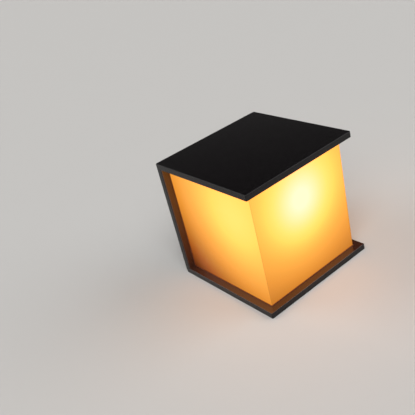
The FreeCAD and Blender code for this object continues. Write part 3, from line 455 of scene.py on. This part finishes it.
opal = new_finish(
    "lit_opal_acrylic",
    Base_Color="#150D06",
    Specular_IOR_Level=0.2,
    Emission_Strength=GLOW_STRENGTH,
)
tree = opal.node_tree
share = add_node(tree, "ShaderNodeMath", {0: glow_on(tree), 1: GLOW_FULL}, operation="DIVIDE")
tones = add_node(tree, "ShaderNodeValToRGB", {"Fac": share.outputs[0]})
ramp = tones.color_ramp
for _ in range(len(GLOW_TONES) - 2):
    ramp.elements.new(0.5)  # the loop below gives each its own place
for element, (light, shown) in zip(ramp.elements, GLOW_TONES.items()):
    red, green, blue, _ = paint(shown)
    if red > RED_IS_FULL:
        red = min(RED_OVER_GREEN * green, GLOW_STRENGTH)
    element.position = light / GLOW_FULL
    element.color = (red / GLOW_STRENGTH, green / GLOW_STRENGTH, blue / GLOW_STRENGTH, 1)
tree.links.new(tones.outputs["Color"], shader_input(opal, "Emission Color"))
uneven_gloss(opal, patches(opal, 12.0), 0.34, 0.42)
relief(opal, patches(opal, 0.8), 0.004)
wear("opal_pane", opal)

# %% [markdown]
# ## Rubber and foam
# Three rubbers keep the weather out. The channels round the panes are extruded silicone, smooth, with a
# greasy bloom. Silicone that has to stand warmth is coloured with iron oxide, which makes it a dark
# red-brown. It takes up the pane's light, so no black line parts a pane from its ledge. The grommet and the
# washers are moulded black rubber with the fine texture of a spark-eroded mould. The ring on the wall is cut
# from a sheet of closed-cell foam, so its faces show the cells: a Voronoi pattern is rounded cells packed
# side by side, which is what foam is.

# %% Silicone, moulded rubber and foam
silicone = new_finish("dark_red_brown_silicone", Specular_IOR_Level=0.5)
two_tone(silicone, patches(silicone, 6.0), "#70361F", "#804226")
uneven_gloss(silicone, patches(silicone, 1.5), 0.4, 0.55)
relief(silicone, patches(silicone, 0.8), 0.02)
wear("silicone_channel", silicone)

rubber = new_finish("black_moulded_rubber", Specular_IOR_Level=0.4)
two_tone(rubber, patches(rubber, 4.0, detail=4.0), "#111111", "#1E1D1C")
uneven_gloss(rubber, patches(rubber, 2.0), 0.5, 0.68)
relief(rubber, patches(rubber, 0.45), 0.03)
wear("black_rubber", rubber)

FOAM_CELL = 1.0  # millimetres

foam = new_finish("black_closed_cell_foam", Specular_IOR_Level=0.3)
tree = foam.node_tree
place = add_node(tree, "ShaderNodeTexCoord").outputs["Object"]
sockets = {"Vector": place, "Scale": 1 / (FOAM_CELL * MM)}
cells = add_node(tree, "ShaderNodeTexVoronoi", sockets).outputs["Distance"]
two_tone(foam, cells, "#0E0E0E", "#262625", start=0.05, end=0.75)
uneven_gloss(foam, patches(foam, 8.0), 0.8, 0.95)
relief(foam, cells, 0.35)
wear("foam_seal", foam)

# %% [markdown]
# ## Bare and plated metals
# The strap, the bridge and most screws are mild steel with bright zinc: a cool grey with soft cloudy patches
# and, on sheet, faint lines along which it was rolled. The screws of the covers and of the strap are plain
# stainless steel, warmer and harder looking. Brass shows in the contacts and the clamps, and nickel over
# brass in the screw shell. Turned pieces have rings round their axis, which here runs along Y, so their
# pattern is drawn out in X and in Z.

# %% Steel finishes
zinc = new_finish("bright_zinc_on_mild_steel", Metallic=1.0)
two_tone(zinc, patches(zinc, 12.0), "#A3A8AD", "#B4B9BE")
rolling = patches(zinc, 0.45, drawn=(40.0, 1.0, 1.0))
uneven_gloss(zinc, rolling, 0.28, 0.42)
relief(zinc, rolling, 0.01)
wear("zinc_plated_steel", zinc)

stainless = new_finish("plain_stainless_steel", Metallic=1.0)
two_tone(stainless, patches(stainless, 1.5, detail=3.0), "#97938D", "#BAB6AF")
uneven_gloss(stainless, patches(stainless, 0.5), 0.2, 0.34)
relief(stainless, patches(stainless, 0.3), 0.006)
wear("stainless_screw", stainless)

# %% [markdown]
# The next four are small and seen only with the light taken apart, but each has its own metal: yellow
# spring brass that was rolled, brass clamps that were drawn as bar, a dull nickel skin on the drawn screw
# shell, and tin dipped over the copper of the ring terminal.

# %% Brass, nickel and tin finishes
spring = new_finish("rolled_spring_brass", Metallic=1.0)
two_tone(spring, patches(spring, 3.0, detail=3.0), "#A8842F", "#CDA84C")
roll_marks = patches(spring, 0.3, drawn=(30.0, 1.0, 1.0))
uneven_gloss(spring, roll_marks, 0.22, 0.34)
relief(spring, roll_marks, 0.006)
wear("spring_brass", spring)

bar_brass = new_finish("drawn_bar_brass", Metallic=1.0)
two_tone(bar_brass, patches(bar_brass, 2.5, detail=3.0), "#A27F3B", "#C4A35C")
die_marks = patches(bar_brass, 0.25, drawn=(25.0, 1.0, 1.0))
uneven_gloss(bar_brass, die_marks, 0.3, 0.44)
relief(bar_brass, die_marks, 0.008)
wear("terminal_brass", bar_brass)

nickel = new_finish("nickel_plated_brass", Metallic=1.0)
two_tone(nickel, patches(nickel, 5.0, detail=3.0), "#ADA48D", "#CFC7B2")
turning_marks = patches(nickel, 0.3, drawn=(30.0, 1.0, 30.0))
uneven_gloss(nickel, turning_marks, 0.2, 0.32)
relief(nickel, turning_marks, 0.008)
wear("nickel_shell", nickel)

tin = new_finish("tin_dipped_copper", Metallic=1.0)
two_tone(tin, patches(tin, 1.8, detail=4.0), "#9F9B92", "#C9C6BD")
uneven_gloss(tin, patches(tin, 0.8), 0.3, 0.46)
relief(tin, patches(tin, 0.7), 0.02)
wear("tinned_copper", tin)

# %% [markdown]
# ## White inside
# Everything white inside the light is there to throw light out of it. The tray is pressed steel with a
# semi-matt white powder coat, which has the same orange peel as the black one. The lampholder is porcelain:
# a warm white body under a clear glaze, so it has a coat of its own over a duller base, and iron specks.

# %% Tray and porcelain
tray_coat = new_finish("semi_matt_white_powder_coat", Specular_IOR_Level=0.5)
two_tone(tray_coat, patches(tray_coat, 14.0, detail=3.0), "#D8D7D1", "#E4E3DE")
uneven_gloss(tray_coat, patches(tray_coat, 3.5), 0.34, 0.46)
relief(tray_coat, patches(tray_coat, 3.0), 0.03)
wear("white_tray", tray_coat)

porcelain = new_finish("glazed_porcelain", Coat_Weight=1.0, Coat_Roughness=0.06)
specks = patches(porcelain, 0.6, detail=0.0)
two_tone(porcelain, specks, "#B9AD98", "#E7E1D6", start=0.14, end=0.24)
uneven_gloss(porcelain, patches(porcelain, 6.0), 0.35, 0.5)
relief(porcelain, patches(porcelain, 7.0), 0.08)
wear("lampholder_body", porcelain)

# %% [markdown]
# ## The lamp
# The lamp's cap is thin metal, bright and faintly ringed from spinning. A black glass button insulates its
# tip, and the tip itself is a blob of solder. The housing is moulded white plastic with a fine spark-eroded
# texture. The board is covered with white lacquer that lets the edges of its round copper tracks show
# through as rings. The phosphor over the chips is a yellow powder in clear silicone.

# %% Cap, insulator and tip
cap_metal = new_finish("spun_nickel_plated_cap", Metallic=1.0)
spin_marks = patches(cap_metal, 0.35, drawn=(40.0, 1.0, 40.0))
two_tone(cap_metal, patches(cap_metal, 5.0, detail=3.0), "#B1B0AC", "#CFCECB")
uneven_gloss(cap_metal, spin_marks, 0.18, 0.32)
relief(cap_metal, spin_marks, 0.01)
wear("bulb_cap_metal", cap_metal)

black_glass = new_finish("black_pressed_glass", Specular_IOR_Level=0.5)
two_tone(black_glass, patches(black_glass, 2.0), "#070709", "#111115")
uneven_gloss(black_glass, patches(black_glass, 1.2), 0.1, 0.2)
relief(black_glass, patches(black_glass, 2.0), 0.03)
wear("black_insulator", black_glass)

solder = new_finish("soft_solder", Metallic=1.0)
two_tone(solder, patches(solder, 1.0, detail=4.0), "#908D87", "#BDBAB4")
uneven_gloss(solder, patches(solder, 0.7), 0.28, 0.45)
relief(solder, patches(solder, 1.1), 0.06)
wear("contact_metal", solder)

# %% Housing, board and phosphor
BOARD_RING = 3.2  # millimetres from one round track to the next
WAVE_RADIANS = 20  # how far a Wave texture of scale 1 runs on in each unit of length

housing = new_finish("moulded_white_polycarbonate", Subsurface_Weight=0.05, Subsurface_Scale=1.0 * MM)
two_tone(housing, patches(housing, 9.0), "#DEDEDA", "#E9E9E6")
uneven_gloss(housing, patches(housing, 3.0), 0.34, 0.44)
relief(housing, patches(housing, 0.35), 0.012)
wear("bulb_housing_white", housing)

board_low, board_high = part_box("led_board")
board_middle = (board_low + board_high) / 2
board = new_finish("white_lacquer_on_aluminium_board", Roughness=0.38)
tree = board.node_tree
place = add_node(tree, "ShaderNodeTexCoord").outputs["Object"]
place = add_node(tree, "ShaderNodeMapping", {"Vector": place, "Location": -board_middle}).outputs["Vector"]
scale = 2 * math.pi / WAVE_RADIANS / (BOARD_RING * MM)
sockets = {"Vector": place, "Scale": scale, "Distortion": 0.0}
tracks = add_node(tree, "ShaderNodeTexWave", sockets, wave_type="RINGS", rings_direction="Y").outputs["Fac"]
two_tone(board, tracks, "#D3D7D0", "#E6E8E4", start=0.05, end=0.25)
relief(board, tracks, 0.03)
wear("board_white", board)

phosphor = new_finish("yellow_phosphor_in_silicone", Emission_Color="#FFC46A", Emission_Strength=0.5)
two_tone(phosphor, patches(phosphor, 0.25, detail=3.0), "#E0A92A", "#F6CE58")
uneven_gloss(phosphor, patches(phosphor, 0.6), 0.4, 0.6)
relief(phosphor, patches(phosphor, 0.3), 0.02)
wear("led_phosphor", phosphor)

# %% [markdown]
# The lamp's globe is opal too. Its light comes from the chips behind its open side, so its front is
# brightest. A warm tone that deepens towards the wall keeps it from looking like a plain lit ball.

# %% Globe
globe_low, globe_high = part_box("bulb_globe")
globe = new_finish("lit_opal_globe", Base_Color="#D9CDBA", Emission_Strength=1.0)
tree = globe.node_tree
place = add_node(tree, "ShaderNodeTexCoord").outputs["Object"]
depth = add_node(tree, "ShaderNodeSeparateXYZ", {0: place}).outputs["Y"]
sockets = {"Value": depth, "From Min": globe_high.y, "From Max": globe_low.y}
along = add_node(tree, "ShaderNodeMapRange", sockets).outputs["Result"]
warm = add_node(tree, "ShaderNodeValToRGB", {"Fac": along})
warm.color_ramp.elements[0].color = paint("#E8B068")
warm.color_ramp.elements[1].color = paint("#FFDDA6")
tree.links.new(warm.outputs["Color"], shader_input(globe, "Emission Color"))
uneven_gloss(globe, patches(globe, 10.0), 0.3, 0.4)
relief(globe, patches(globe, 1.0), 0.004)
wear("bulb_globe_opal", globe)

# %% [markdown]
# ## Terminal block and leads
# The terminal block is natural nylon: creamy, slightly translucent, with the flow marks of its mould. The
# leads are soft plastic over copper. Live is brown, neutral is blue and earth is green with yellow stripes
# along it. A stripe along a round lead covers the part of its skin that faces one way, so the surface's own
# normal says where the yellow is, whichever way the lead bends.

# %% Terminal block
nylon = new_finish("natural_nylon", Subsurface_Weight=0.1, Subsurface_Scale=1.0 * MM)
two_tone(nylon, patches(nylon, 5.0, detail=3.0), "#CFCBB9", "#E0DDCE")
uneven_gloss(nylon, patches(nylon, 2.0), 0.36, 0.5)
relief(nylon, patches(nylon, 0.6), 0.015)
wear("terminal_plastic", nylon)

# %% Leads
LEAD_TONES = {
    # slot: dark and light patches of its colour
    "brown_insulation": ("#3F2110", "#573019"),
    "blue_insulation": ("#1A4F93", "#2A69B4"),
    "green_insulation": ("#1F7A2E", "#2F9A40"),
}
YELLOW = "#E3C51F"
STRIPE_FROM = 0.55  # how squarely the skin faces the wall or the room where the yellow starts

for slot, (dark, light) in LEAD_TONES.items():
    lead = new_finish(slot.replace("insulation", "lead_plastic"), Specular_IOR_Level=0.5)
    two_tone(lead, patches(lead, 2.5, detail=3.0), dark, light)
    uneven_gloss(lead, patches(lead, 1.2), 0.3, 0.42)
    relief(lead, patches(lead, 0.5), 0.01)
    wear(slot, lead)

striped = FINISH_OF["green_insulation"]
tree = striped.node_tree
facing = add_node(tree, "ShaderNodeNewGeometry").outputs["Normal"]
sideways = add_node(tree, "ShaderNodeSeparateXYZ", {0: facing}).outputs["Y"]
sideways = add_node(tree, "ShaderNodeMath", {0: sideways}, operation="ABSOLUTE").outputs[0]
sockets = {0: sideways, 1: STRIPE_FROM}
in_stripe = add_node(tree, "ShaderNodeMath", sockets, operation="GREATER_THAN").outputs[0]
overlay(striped, in_stripe, YELLOW)

bare = sorted(set(SLOT_OF.values()) - set(FINISH_OF))
print("slots still without a finish:", bare)

# %% [markdown]
# ## Modelling by hand, in code
# The pieces that follow are shaped as one would shape them with a mouse: add a primitive at its real size,
# go into edit mode, pick faces or edges, and extrude, inset or bevel them. An operator acts on whatever is
# selected, so the helpers here clear the selection first and then pick by place. A finished piece has its
# place in its mesh and its object at the origin, as the model's own pieces do. Named sizes are in
# millimetres from here on, unless they say otherwise.

# %% Helpers for modelling
NEARLY = 0.99  # of a size: what lies beyond this share of it lies at its end


def new_piece(name, add_primitive, **sizes):
    """A primitive as the only selected object, with its place already in its mesh."""
    bpy.ops.object.select_all(action="DESELECT")
    add_primitive(**sizes)
    piece = bpy.context.object
    piece.name = name
    bpy.ops.object.transform_apply(location=True, rotation=True, scale=True)
    return piece


def pick(piece, kind, test):
    """Go into edit mode with only the faces or edges whose middle passes a test selected."""
    bpy.ops.object.mode_set(mode="EDIT")
    bpy.ops.mesh.select_mode(type=kind)
    bpy.ops.mesh.select_all(action="DESELECT")
    bpy.ops.object.mode_set(mode="OBJECT")
    points = piece.data.vertices
    for item in piece.data.polygons if kind == "FACE" else piece.data.edges:
        middle = sum((points[i].co for i in item.vertices), Vector()) / len(item.vertices)
        item.select = bool(test(middle))
    bpy.ops.object.mode_set(mode="EDIT")


def leave_edit(normals_out=False):
    """Back to object mode, with all normals turned outwards first if wanted."""
    if normals_out:
        bpy.ops.mesh.select_all(action="SELECT")
        bpy.ops.mesh.normals_make_consistent(inside=False)
    bpy.ops.object.mode_set(mode="OBJECT")


def rod(name, sides, radius, tall, middle=(0, 0, 0)):
    """An upright cylinder with its middle at a place."""
    add_primitive = bpy.ops.mesh.primitive_cylinder_add
    return new_piece(name, add_primitive, vertices=sides, radius=radius, depth=tall, location=middle)


def bevel(piece, test, width, segments):
    """Bevel the edges whose middle passes a test."""
    pick(piece, "EDGE", test)
    bpy.ops.mesh.bevel(offset=width, segments=segments, affect="EDGES")
    leave_edit()


def wind(outline, pitch, turns, steps):
    """Carry a closed outline round the Z axis and up, and close both of its ends."""
    sides = len(outline.data.vertices)
    screw = outline.modifiers.new("winding", "SCREW")
    screw.screw_offset = pitch
    screw.iterations = turns
    screw.steps = steps
    screw.render_steps = steps
    bpy.ops.object.modifier_apply(modifier="winding")
    bpy.ops.object.mode_set(mode="EDIT")
    bpy.ops.mesh.select_all(action="SELECT")
    bpy.ops.mesh.fill_holes(sides=sides)
    leave_edit(normals_out=True)


def merge(name, pieces):
    """Several pieces as one object."""
    bpy.ops.object.select_all(action="DESELECT")
    for piece in pieces:
        piece.select_set(True)
    bpy.context.view_layer.objects.active = pieces[0]
    if len(pieces) > 1:
        bpy.ops.object.join()
    pieces[0].name = name
    return pieces[0]


def copies(piece, places, turn=Quaternion()):
    """Copies of a piece with meshes of their own, turned and moved to places. It goes to the last itself."""
    made = []
    for i, place in enumerate(places):
        bpy.ops.object.select_all(action="DESELECT")
        piece.select_set(True)
        bpy.context.view_layer.objects.active = piece
        if i + 1 < len(places):
            bpy.ops.object.duplicate()
        made.append(bpy.context.object)
    for copy, place in zip(made, places):
        copy.matrix_world = Matrix.Translation(place) @ turn.to_matrix().to_4x4()
        bpy.ops.object.select_all(action="DESELECT")
        copy.select_set(True)
        bpy.context.view_layer.objects.active = copy
        bpy.ops.object.transform_apply(location=True, rotation=True, scale=True)
    return made


def finish_piece(piece, slot, replaced=None, smooth=35):
    """Smooth edges flatter than so many degrees, dress and declare a piece, and let it replace a node."""
    bpy.ops.object.select_all(action="DESELECT")
    piece.select_set(True)
    bpy.context.view_layer.objects.active = piece
    bpy.ops.object.shade_smooth_by_angle(angle=math.radians(smooth))
    piece.data.materials.clear()
    piece.data.materials.append(FINISH_OF[slot])
    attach(piece, "root")
    if replaced:
        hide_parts(replaced)
    size = [round(v / MM, 1) for v in piece.dimensions]
    print(piece.name, size, "mm,", len(piece.data.polygons), "faces")


# %% [markdown]
# ## Screws with real heads and threads
# A plain peg is enough for a drawing, but a screw is known by three things: its chamfered head, the hexagon
# socket, and the thread. The socket of a real screw is struck with a six-sided punch that ends in a cone, so
# here too a punch is sunk into the head and taken away from it. The thread is a small triangle carried round
# and up by the Screw modifier, because a metric thread is an equilateral triangle in section: its flanks
# meet at 60 degrees.

# %% One socket screw
# radius of the shank and of the head, height of the head, and pitch, in millimetres
M4 = {"shank": 2.0, "head": 3.8, "height": 2.6, "pitch": 0.7}
M3 = {"shank": 1.5, "head": 2.8, "height": 2.0, "pitch": 0.5}
THREAD_DEEP = 0.61  # of the pitch, by the metric standard
SOCKET_SHARE = 0.5  # radius of the hexagon, of the head's radius
PUNCH_POINT = 1 / 3  # length of the punch's cone, of the hexagon's radius
RIM_SHARE = 1 / 6  # width of the bevelled rim, of the head's height
TIP_SHARE = 1 / 3  # width of the bevelled tip, of the core's radius
RIDGE_SUNK = 0.1  # how far the ridge's root lies inside the core, of the pitch
HEAD_SIDES = 36
THREAD_STEPS = 18  # in one turn, and sides of the core


def screw_head(size):
    """A head below the origin, with a bevelled rim and a hexagon socket punched into its face."""
    radius = size["head"] * MM
    height = size["height"] * MM
    hexagon = radius * SOCKET_SHARE
    punch = rod("punch", 6, hexagon, height, (0, 0, -height))
    pick(punch, "FACE", lambda middle: middle.z > -height / 2 / NEARLY)
    bpy.ops.mesh.poke(offset=hexagon * PUNCH_POINT)
    leave_edit()
    head = rod("head", HEAD_SIDES, radius, height, (0, 0, -height / 2))
    bevel(head, lambda middle: middle.z < -height * NEARLY, height * RIM_SHARE, segments=2)
    socket = head.modifiers.new("socket", "BOOLEAN")
    socket.object = punch
    bpy.ops.object.modifier_apply(modifier="socket")
    bpy.data.objects.remove(punch)
    return head


def screw_shank(size, length):
    """A core with a bevelled tip that stands on the origin."""
    radius = (size["shank"] - THREAD_DEEP * size["pitch"]) * MM
    core = rod("core", THREAD_STEPS, radius, length, (0, 0, length / 2))
    bevel(core, lambda middle: middle.z > length * NEARLY, radius * TIP_SHARE, segments=1)
    return core


def screw_thread(size, length):
    """A ridge of triangular section that winds round the core, and leaves a turn bare at each end."""
    crest = size["shank"] * MM
    pitch = size["pitch"] * MM
    corner = (THREAD_DEEP + RIDGE_SUNK) * pitch * 2 / 3  # from the triangle's middle, so 2/3 of its height
    outwards = Matrix(((0, 1, 0), (0, 0, 1), (1, 0, 0))).to_euler()  # stands it up, with one corner to +X
    ridge = new_piece(
        "ridge",
        bpy.ops.mesh.primitive_circle_add,
        vertices=3,
        radius=corner,
        location=(crest - corner, 0, pitch),
        rotation=outwards,
    )
    wind(ridge, pitch, int(length / pitch) - 2, THREAD_STEPS)
    return ridge


# %% [markdown]
# The model already says where each set of screws is: a node's box runs from head to head across, and from
# the heads' faces to the tips along. So a set needs only its thread size, the way its shanks point, and how
# many stand across and up.

# %% Screws in their places
ALONG = {
    "up": Quaternion(),
    "to wall": Quaternion((1, 0, 0), math.radians(-90)),
    "to room": Quaternion((1, 0, 0), math.radians(90)),
}
SCREW_SETS = {
    # node: (thread, the shank's way, how many across, how many up)
    "cover_screws": (M4, "up", 3, 1),
    "base_screws": (M4, "up", 3, 1),
    "bracket_screws": (M4, "to wall", 2, 1),
    "earth_screw": (M4, "to wall", 1, 1),
    "tray_screws": (M3, "to wall", 2, 2),
    "lampholder_bracket_screws": (M3, "to wall", 2, 1),
    "lampholder_screws": (M3, "to room", 2, 1),
    "block_screws": (M3, "to wall", 1, 2),
}


def spread(low, high, count):
    """Places spread evenly from low to high, or the one between them."""
    if count == 1:
        return [(low + high) / 2]
    return [low + (high - low) * i / (count - 1) for i in range(count)]


for node, (size, way, across, up) in SCREW_SETS.items():
    low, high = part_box(node)
    edge = size["head"] * MM
    xs = spread(low.x + edge, high.x - edge, across)
    if way == "up":
        seat = low.z + size["height"] * MM
        length = high.z - seat
        places = [Vector((x, (low.y + high.y) / 2, seat)) for x in xs]
    else:
        zs = spread(low.z + edge, high.z - edge, up)
        sign = 1 if way == "to wall" else -1
        seat = (low.y if way == "to wall" else high.y) + sign * size["height"] * MM
        length = (high.y - low.y) - size["height"] * MM
        places = [Vector((x, seat, z)) for x in xs for z in zs]
    model = merge("screw", [screw_head(size), screw_shank(size, length), screw_thread(size, length)])
    made = merge("threaded_" + node, copies(model, places, ALONG[way]))
    finish_piece(made, SLOT_OF[node], replaced=node)

# %% [markdown]
# ## The lamp's rolled cap
# A lamp cap's thread is nothing like a screw's. It is rolled in thin metal, so it has round crests and round
# roots, and only a few slow turns. A small circle carried round by the same modifier gives that section.
# In front of the thread the metal is rolled into a plain collar against the lamp's neck.

# %% Lamp cap
CAP_PITCH = 3.62  # millimetres, for the 27 mm cap
CAP_ROUND = 1.25  # radius of a rolled crest
CAP_DEEP = 0.8
CAP_TURNS = 4
COLLAR_LONG = 2.6
TIP_ROUNDING = 1.2
COLLAR_ROUNDING = 0.6
CAP_SIDES = 64
CREST_SIDES = 16
CAP_STEPS = 48  # in one turn of the thread

cap_low, cap_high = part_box("bulb_cap")
cap_radius = (cap_high.x - cap_low.x) / 2
cap_long = cap_high.y - cap_low.y
cap_place = Vector((0, cap_high.y, (cap_low.z + cap_high.z) / 2))

barrel = rod("barrel", CAP_SIDES, cap_radius - CAP_DEEP * MM, cap_long, (0, 0, cap_long / 2))
bevel(barrel, lambda middle: middle.z < cap_long * (1 - NEARLY), TIP_ROUNDING * MM, segments=3)
collar_middle = (0, 0, cap_long - COLLAR_LONG * MM / 2)
collar = rod("collar", CAP_SIDES, cap_radius, COLLAR_LONG * MM, collar_middle)
bevel(collar, lambda middle: middle.xy.length > cap_radius * NEARLY, COLLAR_ROUNDING * MM, segments=3)
crest = new_piece(
    "crest",
    bpy.ops.mesh.primitive_circle_add,
    vertices=CREST_SIDES,
    radius=CAP_ROUND * MM,
    location=(cap_radius - CAP_ROUND * MM, 0, CAP_PITCH * MM),
    rotation=(math.radians(90), 0, 0),
)
wind(crest, CAP_PITCH * MM, CAP_TURNS, CAP_STEPS)
upright_cap = merge("cap", [barrel, collar, crest])
rolled_cap = merge("rolled_bulb_cap", copies(upright_cap, [cap_place], ALONG["to room"]))
finish_piece(rolled_cap, "bulb_cap_metal", replaced="bulb_cap", smooth=40)

# %% [markdown]
# ## LED packages
# An LED package is a frame round a shallow well of phosphor. A loop models ten of them: a block with rounded
# corners, its front face inset for the frame and pushed in for the well. Each is turned about the ring that
# the model's own chips mark out.

# %% LED packages
CHIP_COUNT = 10
CHIP_WIDE = 3.5
CHIP_LONG = 2.8
FRAME_WIDE = 0.4
WELL_DEEP = 0.3
CORNER_ROUNDING = 0.3

chips_low, chips_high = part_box("led_chips")
ring_middle = (chips_low + chips_high) / 2
chip_tall = chips_high.y - chips_low.y
ring_radius = (chips_high.z - chips_low.z) / 2 - CHIP_LONG * MM / 2
side = CHIP_WIDE * MM / 2
packages = []


def at_corner(middle):
    """Whether an edge is one of the four corners of a package, which run from its back to its front."""
    return abs(middle.x) > side * NEARLY and abs(middle.y) < chip_tall / 4


for i in range(CHIP_COUNT):
    package = new_piece(
        "package",
        bpy.ops.mesh.primitive_cube_add,
        size=1,
        scale=(CHIP_WIDE * MM, chip_tall, CHIP_LONG * MM),
        location=(0, 0, ring_radius),
    )
    bevel(package, at_corner, CORNER_ROUNDING * MM, segments=2)
    pick(package, "FACE", lambda middle: middle.y < -chip_tall / 2 * NEARLY)
    bpy.ops.mesh.inset(thickness=FRAME_WIDE * MM)
    bpy.ops.mesh.extrude_region_move(TRANSFORM_OT_translate={"value": (0, WELL_DEEP * MM, 0)})
    leave_edit(normals_out=True)
    turn = Quaternion((0, 1, 0), 2 * math.pi * i / CHIP_COUNT)
    packages += copies(package, [ring_middle], turn)
finish_piece(merge("led_packages", packages), "led_phosphor", replaced="led_chips")

# %% [markdown]
# ## Cable grommet
# The grommet is a soft ring with a groove round it that snaps into the back plate's hole. Its edges are all
# rounded, because rubber fills no sharp corner, and the moulding leaves a thin parting line round its rear
# flange. A ring like this grows from one circle: extrude it, move it along and widen it, loop after loop
# round the section, and bridge the last loop to the first.

# %% Grommet
BORE_R = 5.0
NECK_R = 7.0
FLANGE_THICK = 2.0
PARTING = 0.15  # half the width of the parting line, and how far it stands out
ROUNDING = 0.3
ROUNDED_FROM = 40  # degrees: a sharper edge than this is rounded
SLIVER = 0.01  # millimetres: a face narrower than this is taken out again
GROMMET_SIDES = 64

grommet_low, grommet_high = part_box("cable_grommet")
flange_r = (grommet_high.x - grommet_low.x) / 2 / MM - PARTING
rear = grommet_high.y / MM
front = grommet_low.y / MM
middle_of_flange = rear - FLANGE_THICK / 2
section = [
    # (radius, place along Y) in millimetres, round the ring's section
    (BORE_R, rear),
    (flange_r, rear),
    (flange_r, middle_of_flange + PARTING),
    (flange_r + PARTING, middle_of_flange),
    (flange_r, middle_of_flange - PARTING),
    (flange_r, rear - FLANGE_THICK),
    (NECK_R, rear - FLANGE_THICK),
    (NECK_R, front + FLANGE_THICK),
    (flange_r, front + FLANGE_THICK),
    (NECK_R, front),
    (BORE_R, front),
]
grommet = new_piece(
    "moulded_grommet",
    bpy.ops.mesh.primitive_circle_add,
    vertices=GROMMET_SIDES,
    radius=section[0][0] * MM,
    location=(0, section[0][1] * MM, 0),
    rotation=(math.radians(90), 0, 0),
)
bpy.ops.object.mode_set(mode="EDIT")
bpy.ops.mesh.select_mode(type="EDGE")
bpy.ops.mesh.select_all(action="SELECT")
for (radius, place), (next_radius, next_place) in zip(section, section[1:]):
    share = next_radius / radius
    bpy.ops.mesh.extrude_edges_move(TRANSFORM_OT_translate={"value": (0, (next_place - place) * MM, 0)})
    bpy.ops.transform.resize(value=(share, 1, share), center_override=(0, 0, 0))
bpy.ops.object.mode_set(mode="OBJECT")
pick(grommet, "EDGE", lambda middle: middle.xz.length < BORE_R * MM / NEARLY)
bpy.ops.mesh.bridge_edge_loops()
leave_edit(normals_out=True)
rounding = grommet.modifiers.new("rounding", "BEVEL")
rounding.width = ROUNDING * MM
rounding.segments = 3
rounding.limit_method = "ANGLE"
rounding.angle_limit = math.radians(ROUNDED_FROM)
bpy.ops.object.modifier_apply(modifier="rounding")
pick(grommet, "FACE", lambda middle: True)
bpy.ops.mesh.dissolve_degenerate(threshold=SLIVER * MM)
leave_edit()
finish_piece(grommet, "black_rubber", replaced="cable_grommet")

# %% [markdown]
# ## Ejector marks
# A die casting is pushed out of its mould by round pins, and each leaves a shallow ring on the hidden side.
# In the back plate's well there is one in every outer bay between the ribs. Each is a thin disc whose face
# is inset and pressed in a little, so that only a low rim stands up.

# %% Ejector marks
PIN_R = 3.0
MARK_TALL = 0.25
RIM_WIDE = 0.5
PRESSED_IN = 0.6  # of the mark's height
RIB_PITCH = 38.0
MARK_UP = 62.0  # from the light's middle, up and down
MARK_SIDES = 32

well_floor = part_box("wall_bracket")[0].y  # the strap's ends are screwed to it
mark = rod("mark", MARK_SIDES, PIN_R * MM, MARK_TALL * MM)
pick(mark, "FACE", lambda middle: middle.z > MARK_TALL * MM / 2 * NEARLY)
bpy.ops.mesh.inset(thickness=RIM_WIDE * MM)
bpy.ops.transform.translate(value=(0, 0, -PRESSED_IN * MARK_TALL * MM))
leave_edit()
places = [
    Vector((x * RIB_PITCH * MM, well_floor + MARK_TALL * MM / 2, z * MARK_UP * MM))
    for x in (-1.5, -0.5, 0.5, 1.5)
    for z in (-1, 1)
]
marks = merge("ejector_marks", copies(mark, places, ALONG["to wall"]))
finish_piece(marks, "powder_coated_casting")

# %% [markdown]
# ## Bonded corners
# The panes' mitred edges are glued, and the glue that was pressed out is wiped to a thin soft bead down each
# front corner. It passes a little less light than the pane, which draws the fine darker line that shows
# there. The bead is an eight-sided rod, tapered at its ends to where the rubber channels begin.

# %% Corner beads
BEAD_R = 0.55
BEAD_IN = 0.4  # the bead's middle, inside both panes' faces
BEAD_DIM = 0.8  # of the pane's light
BEAD_SIDES = 8

pane_low, pane_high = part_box("front_panel")
bead_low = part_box("lower_gasket")[1].z
bead_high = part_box("upper_gasket")[0].z
bead_finish = opal.copy()
bead_finish.name = "opal_glue_in_the_corners"
shader_input(bead_finish, "Emission Strength").default_value = GLOW_STRENGTH * BEAD_DIM

for name, x in (("left", pane_low.x + BEAD_IN * MM), ("right", pane_high.x - BEAD_IN * MM)):
    bead_middle = (x, pane_low.y + BEAD_IN * MM, (bead_low + bead_high) / 2)
    bead = rod("corner_bond_" + name, BEAD_SIDES, BEAD_R * MM, bead_high - bead_low, bead_middle)
    bevel(bead, lambda middle: abs(middle.z) > bead_high * NEARLY, BEAD_R * MM / 2, segments=2)
    finish_piece(bead, "opal_pane", smooth=60)
    bead.data.materials[0] = bead_finish
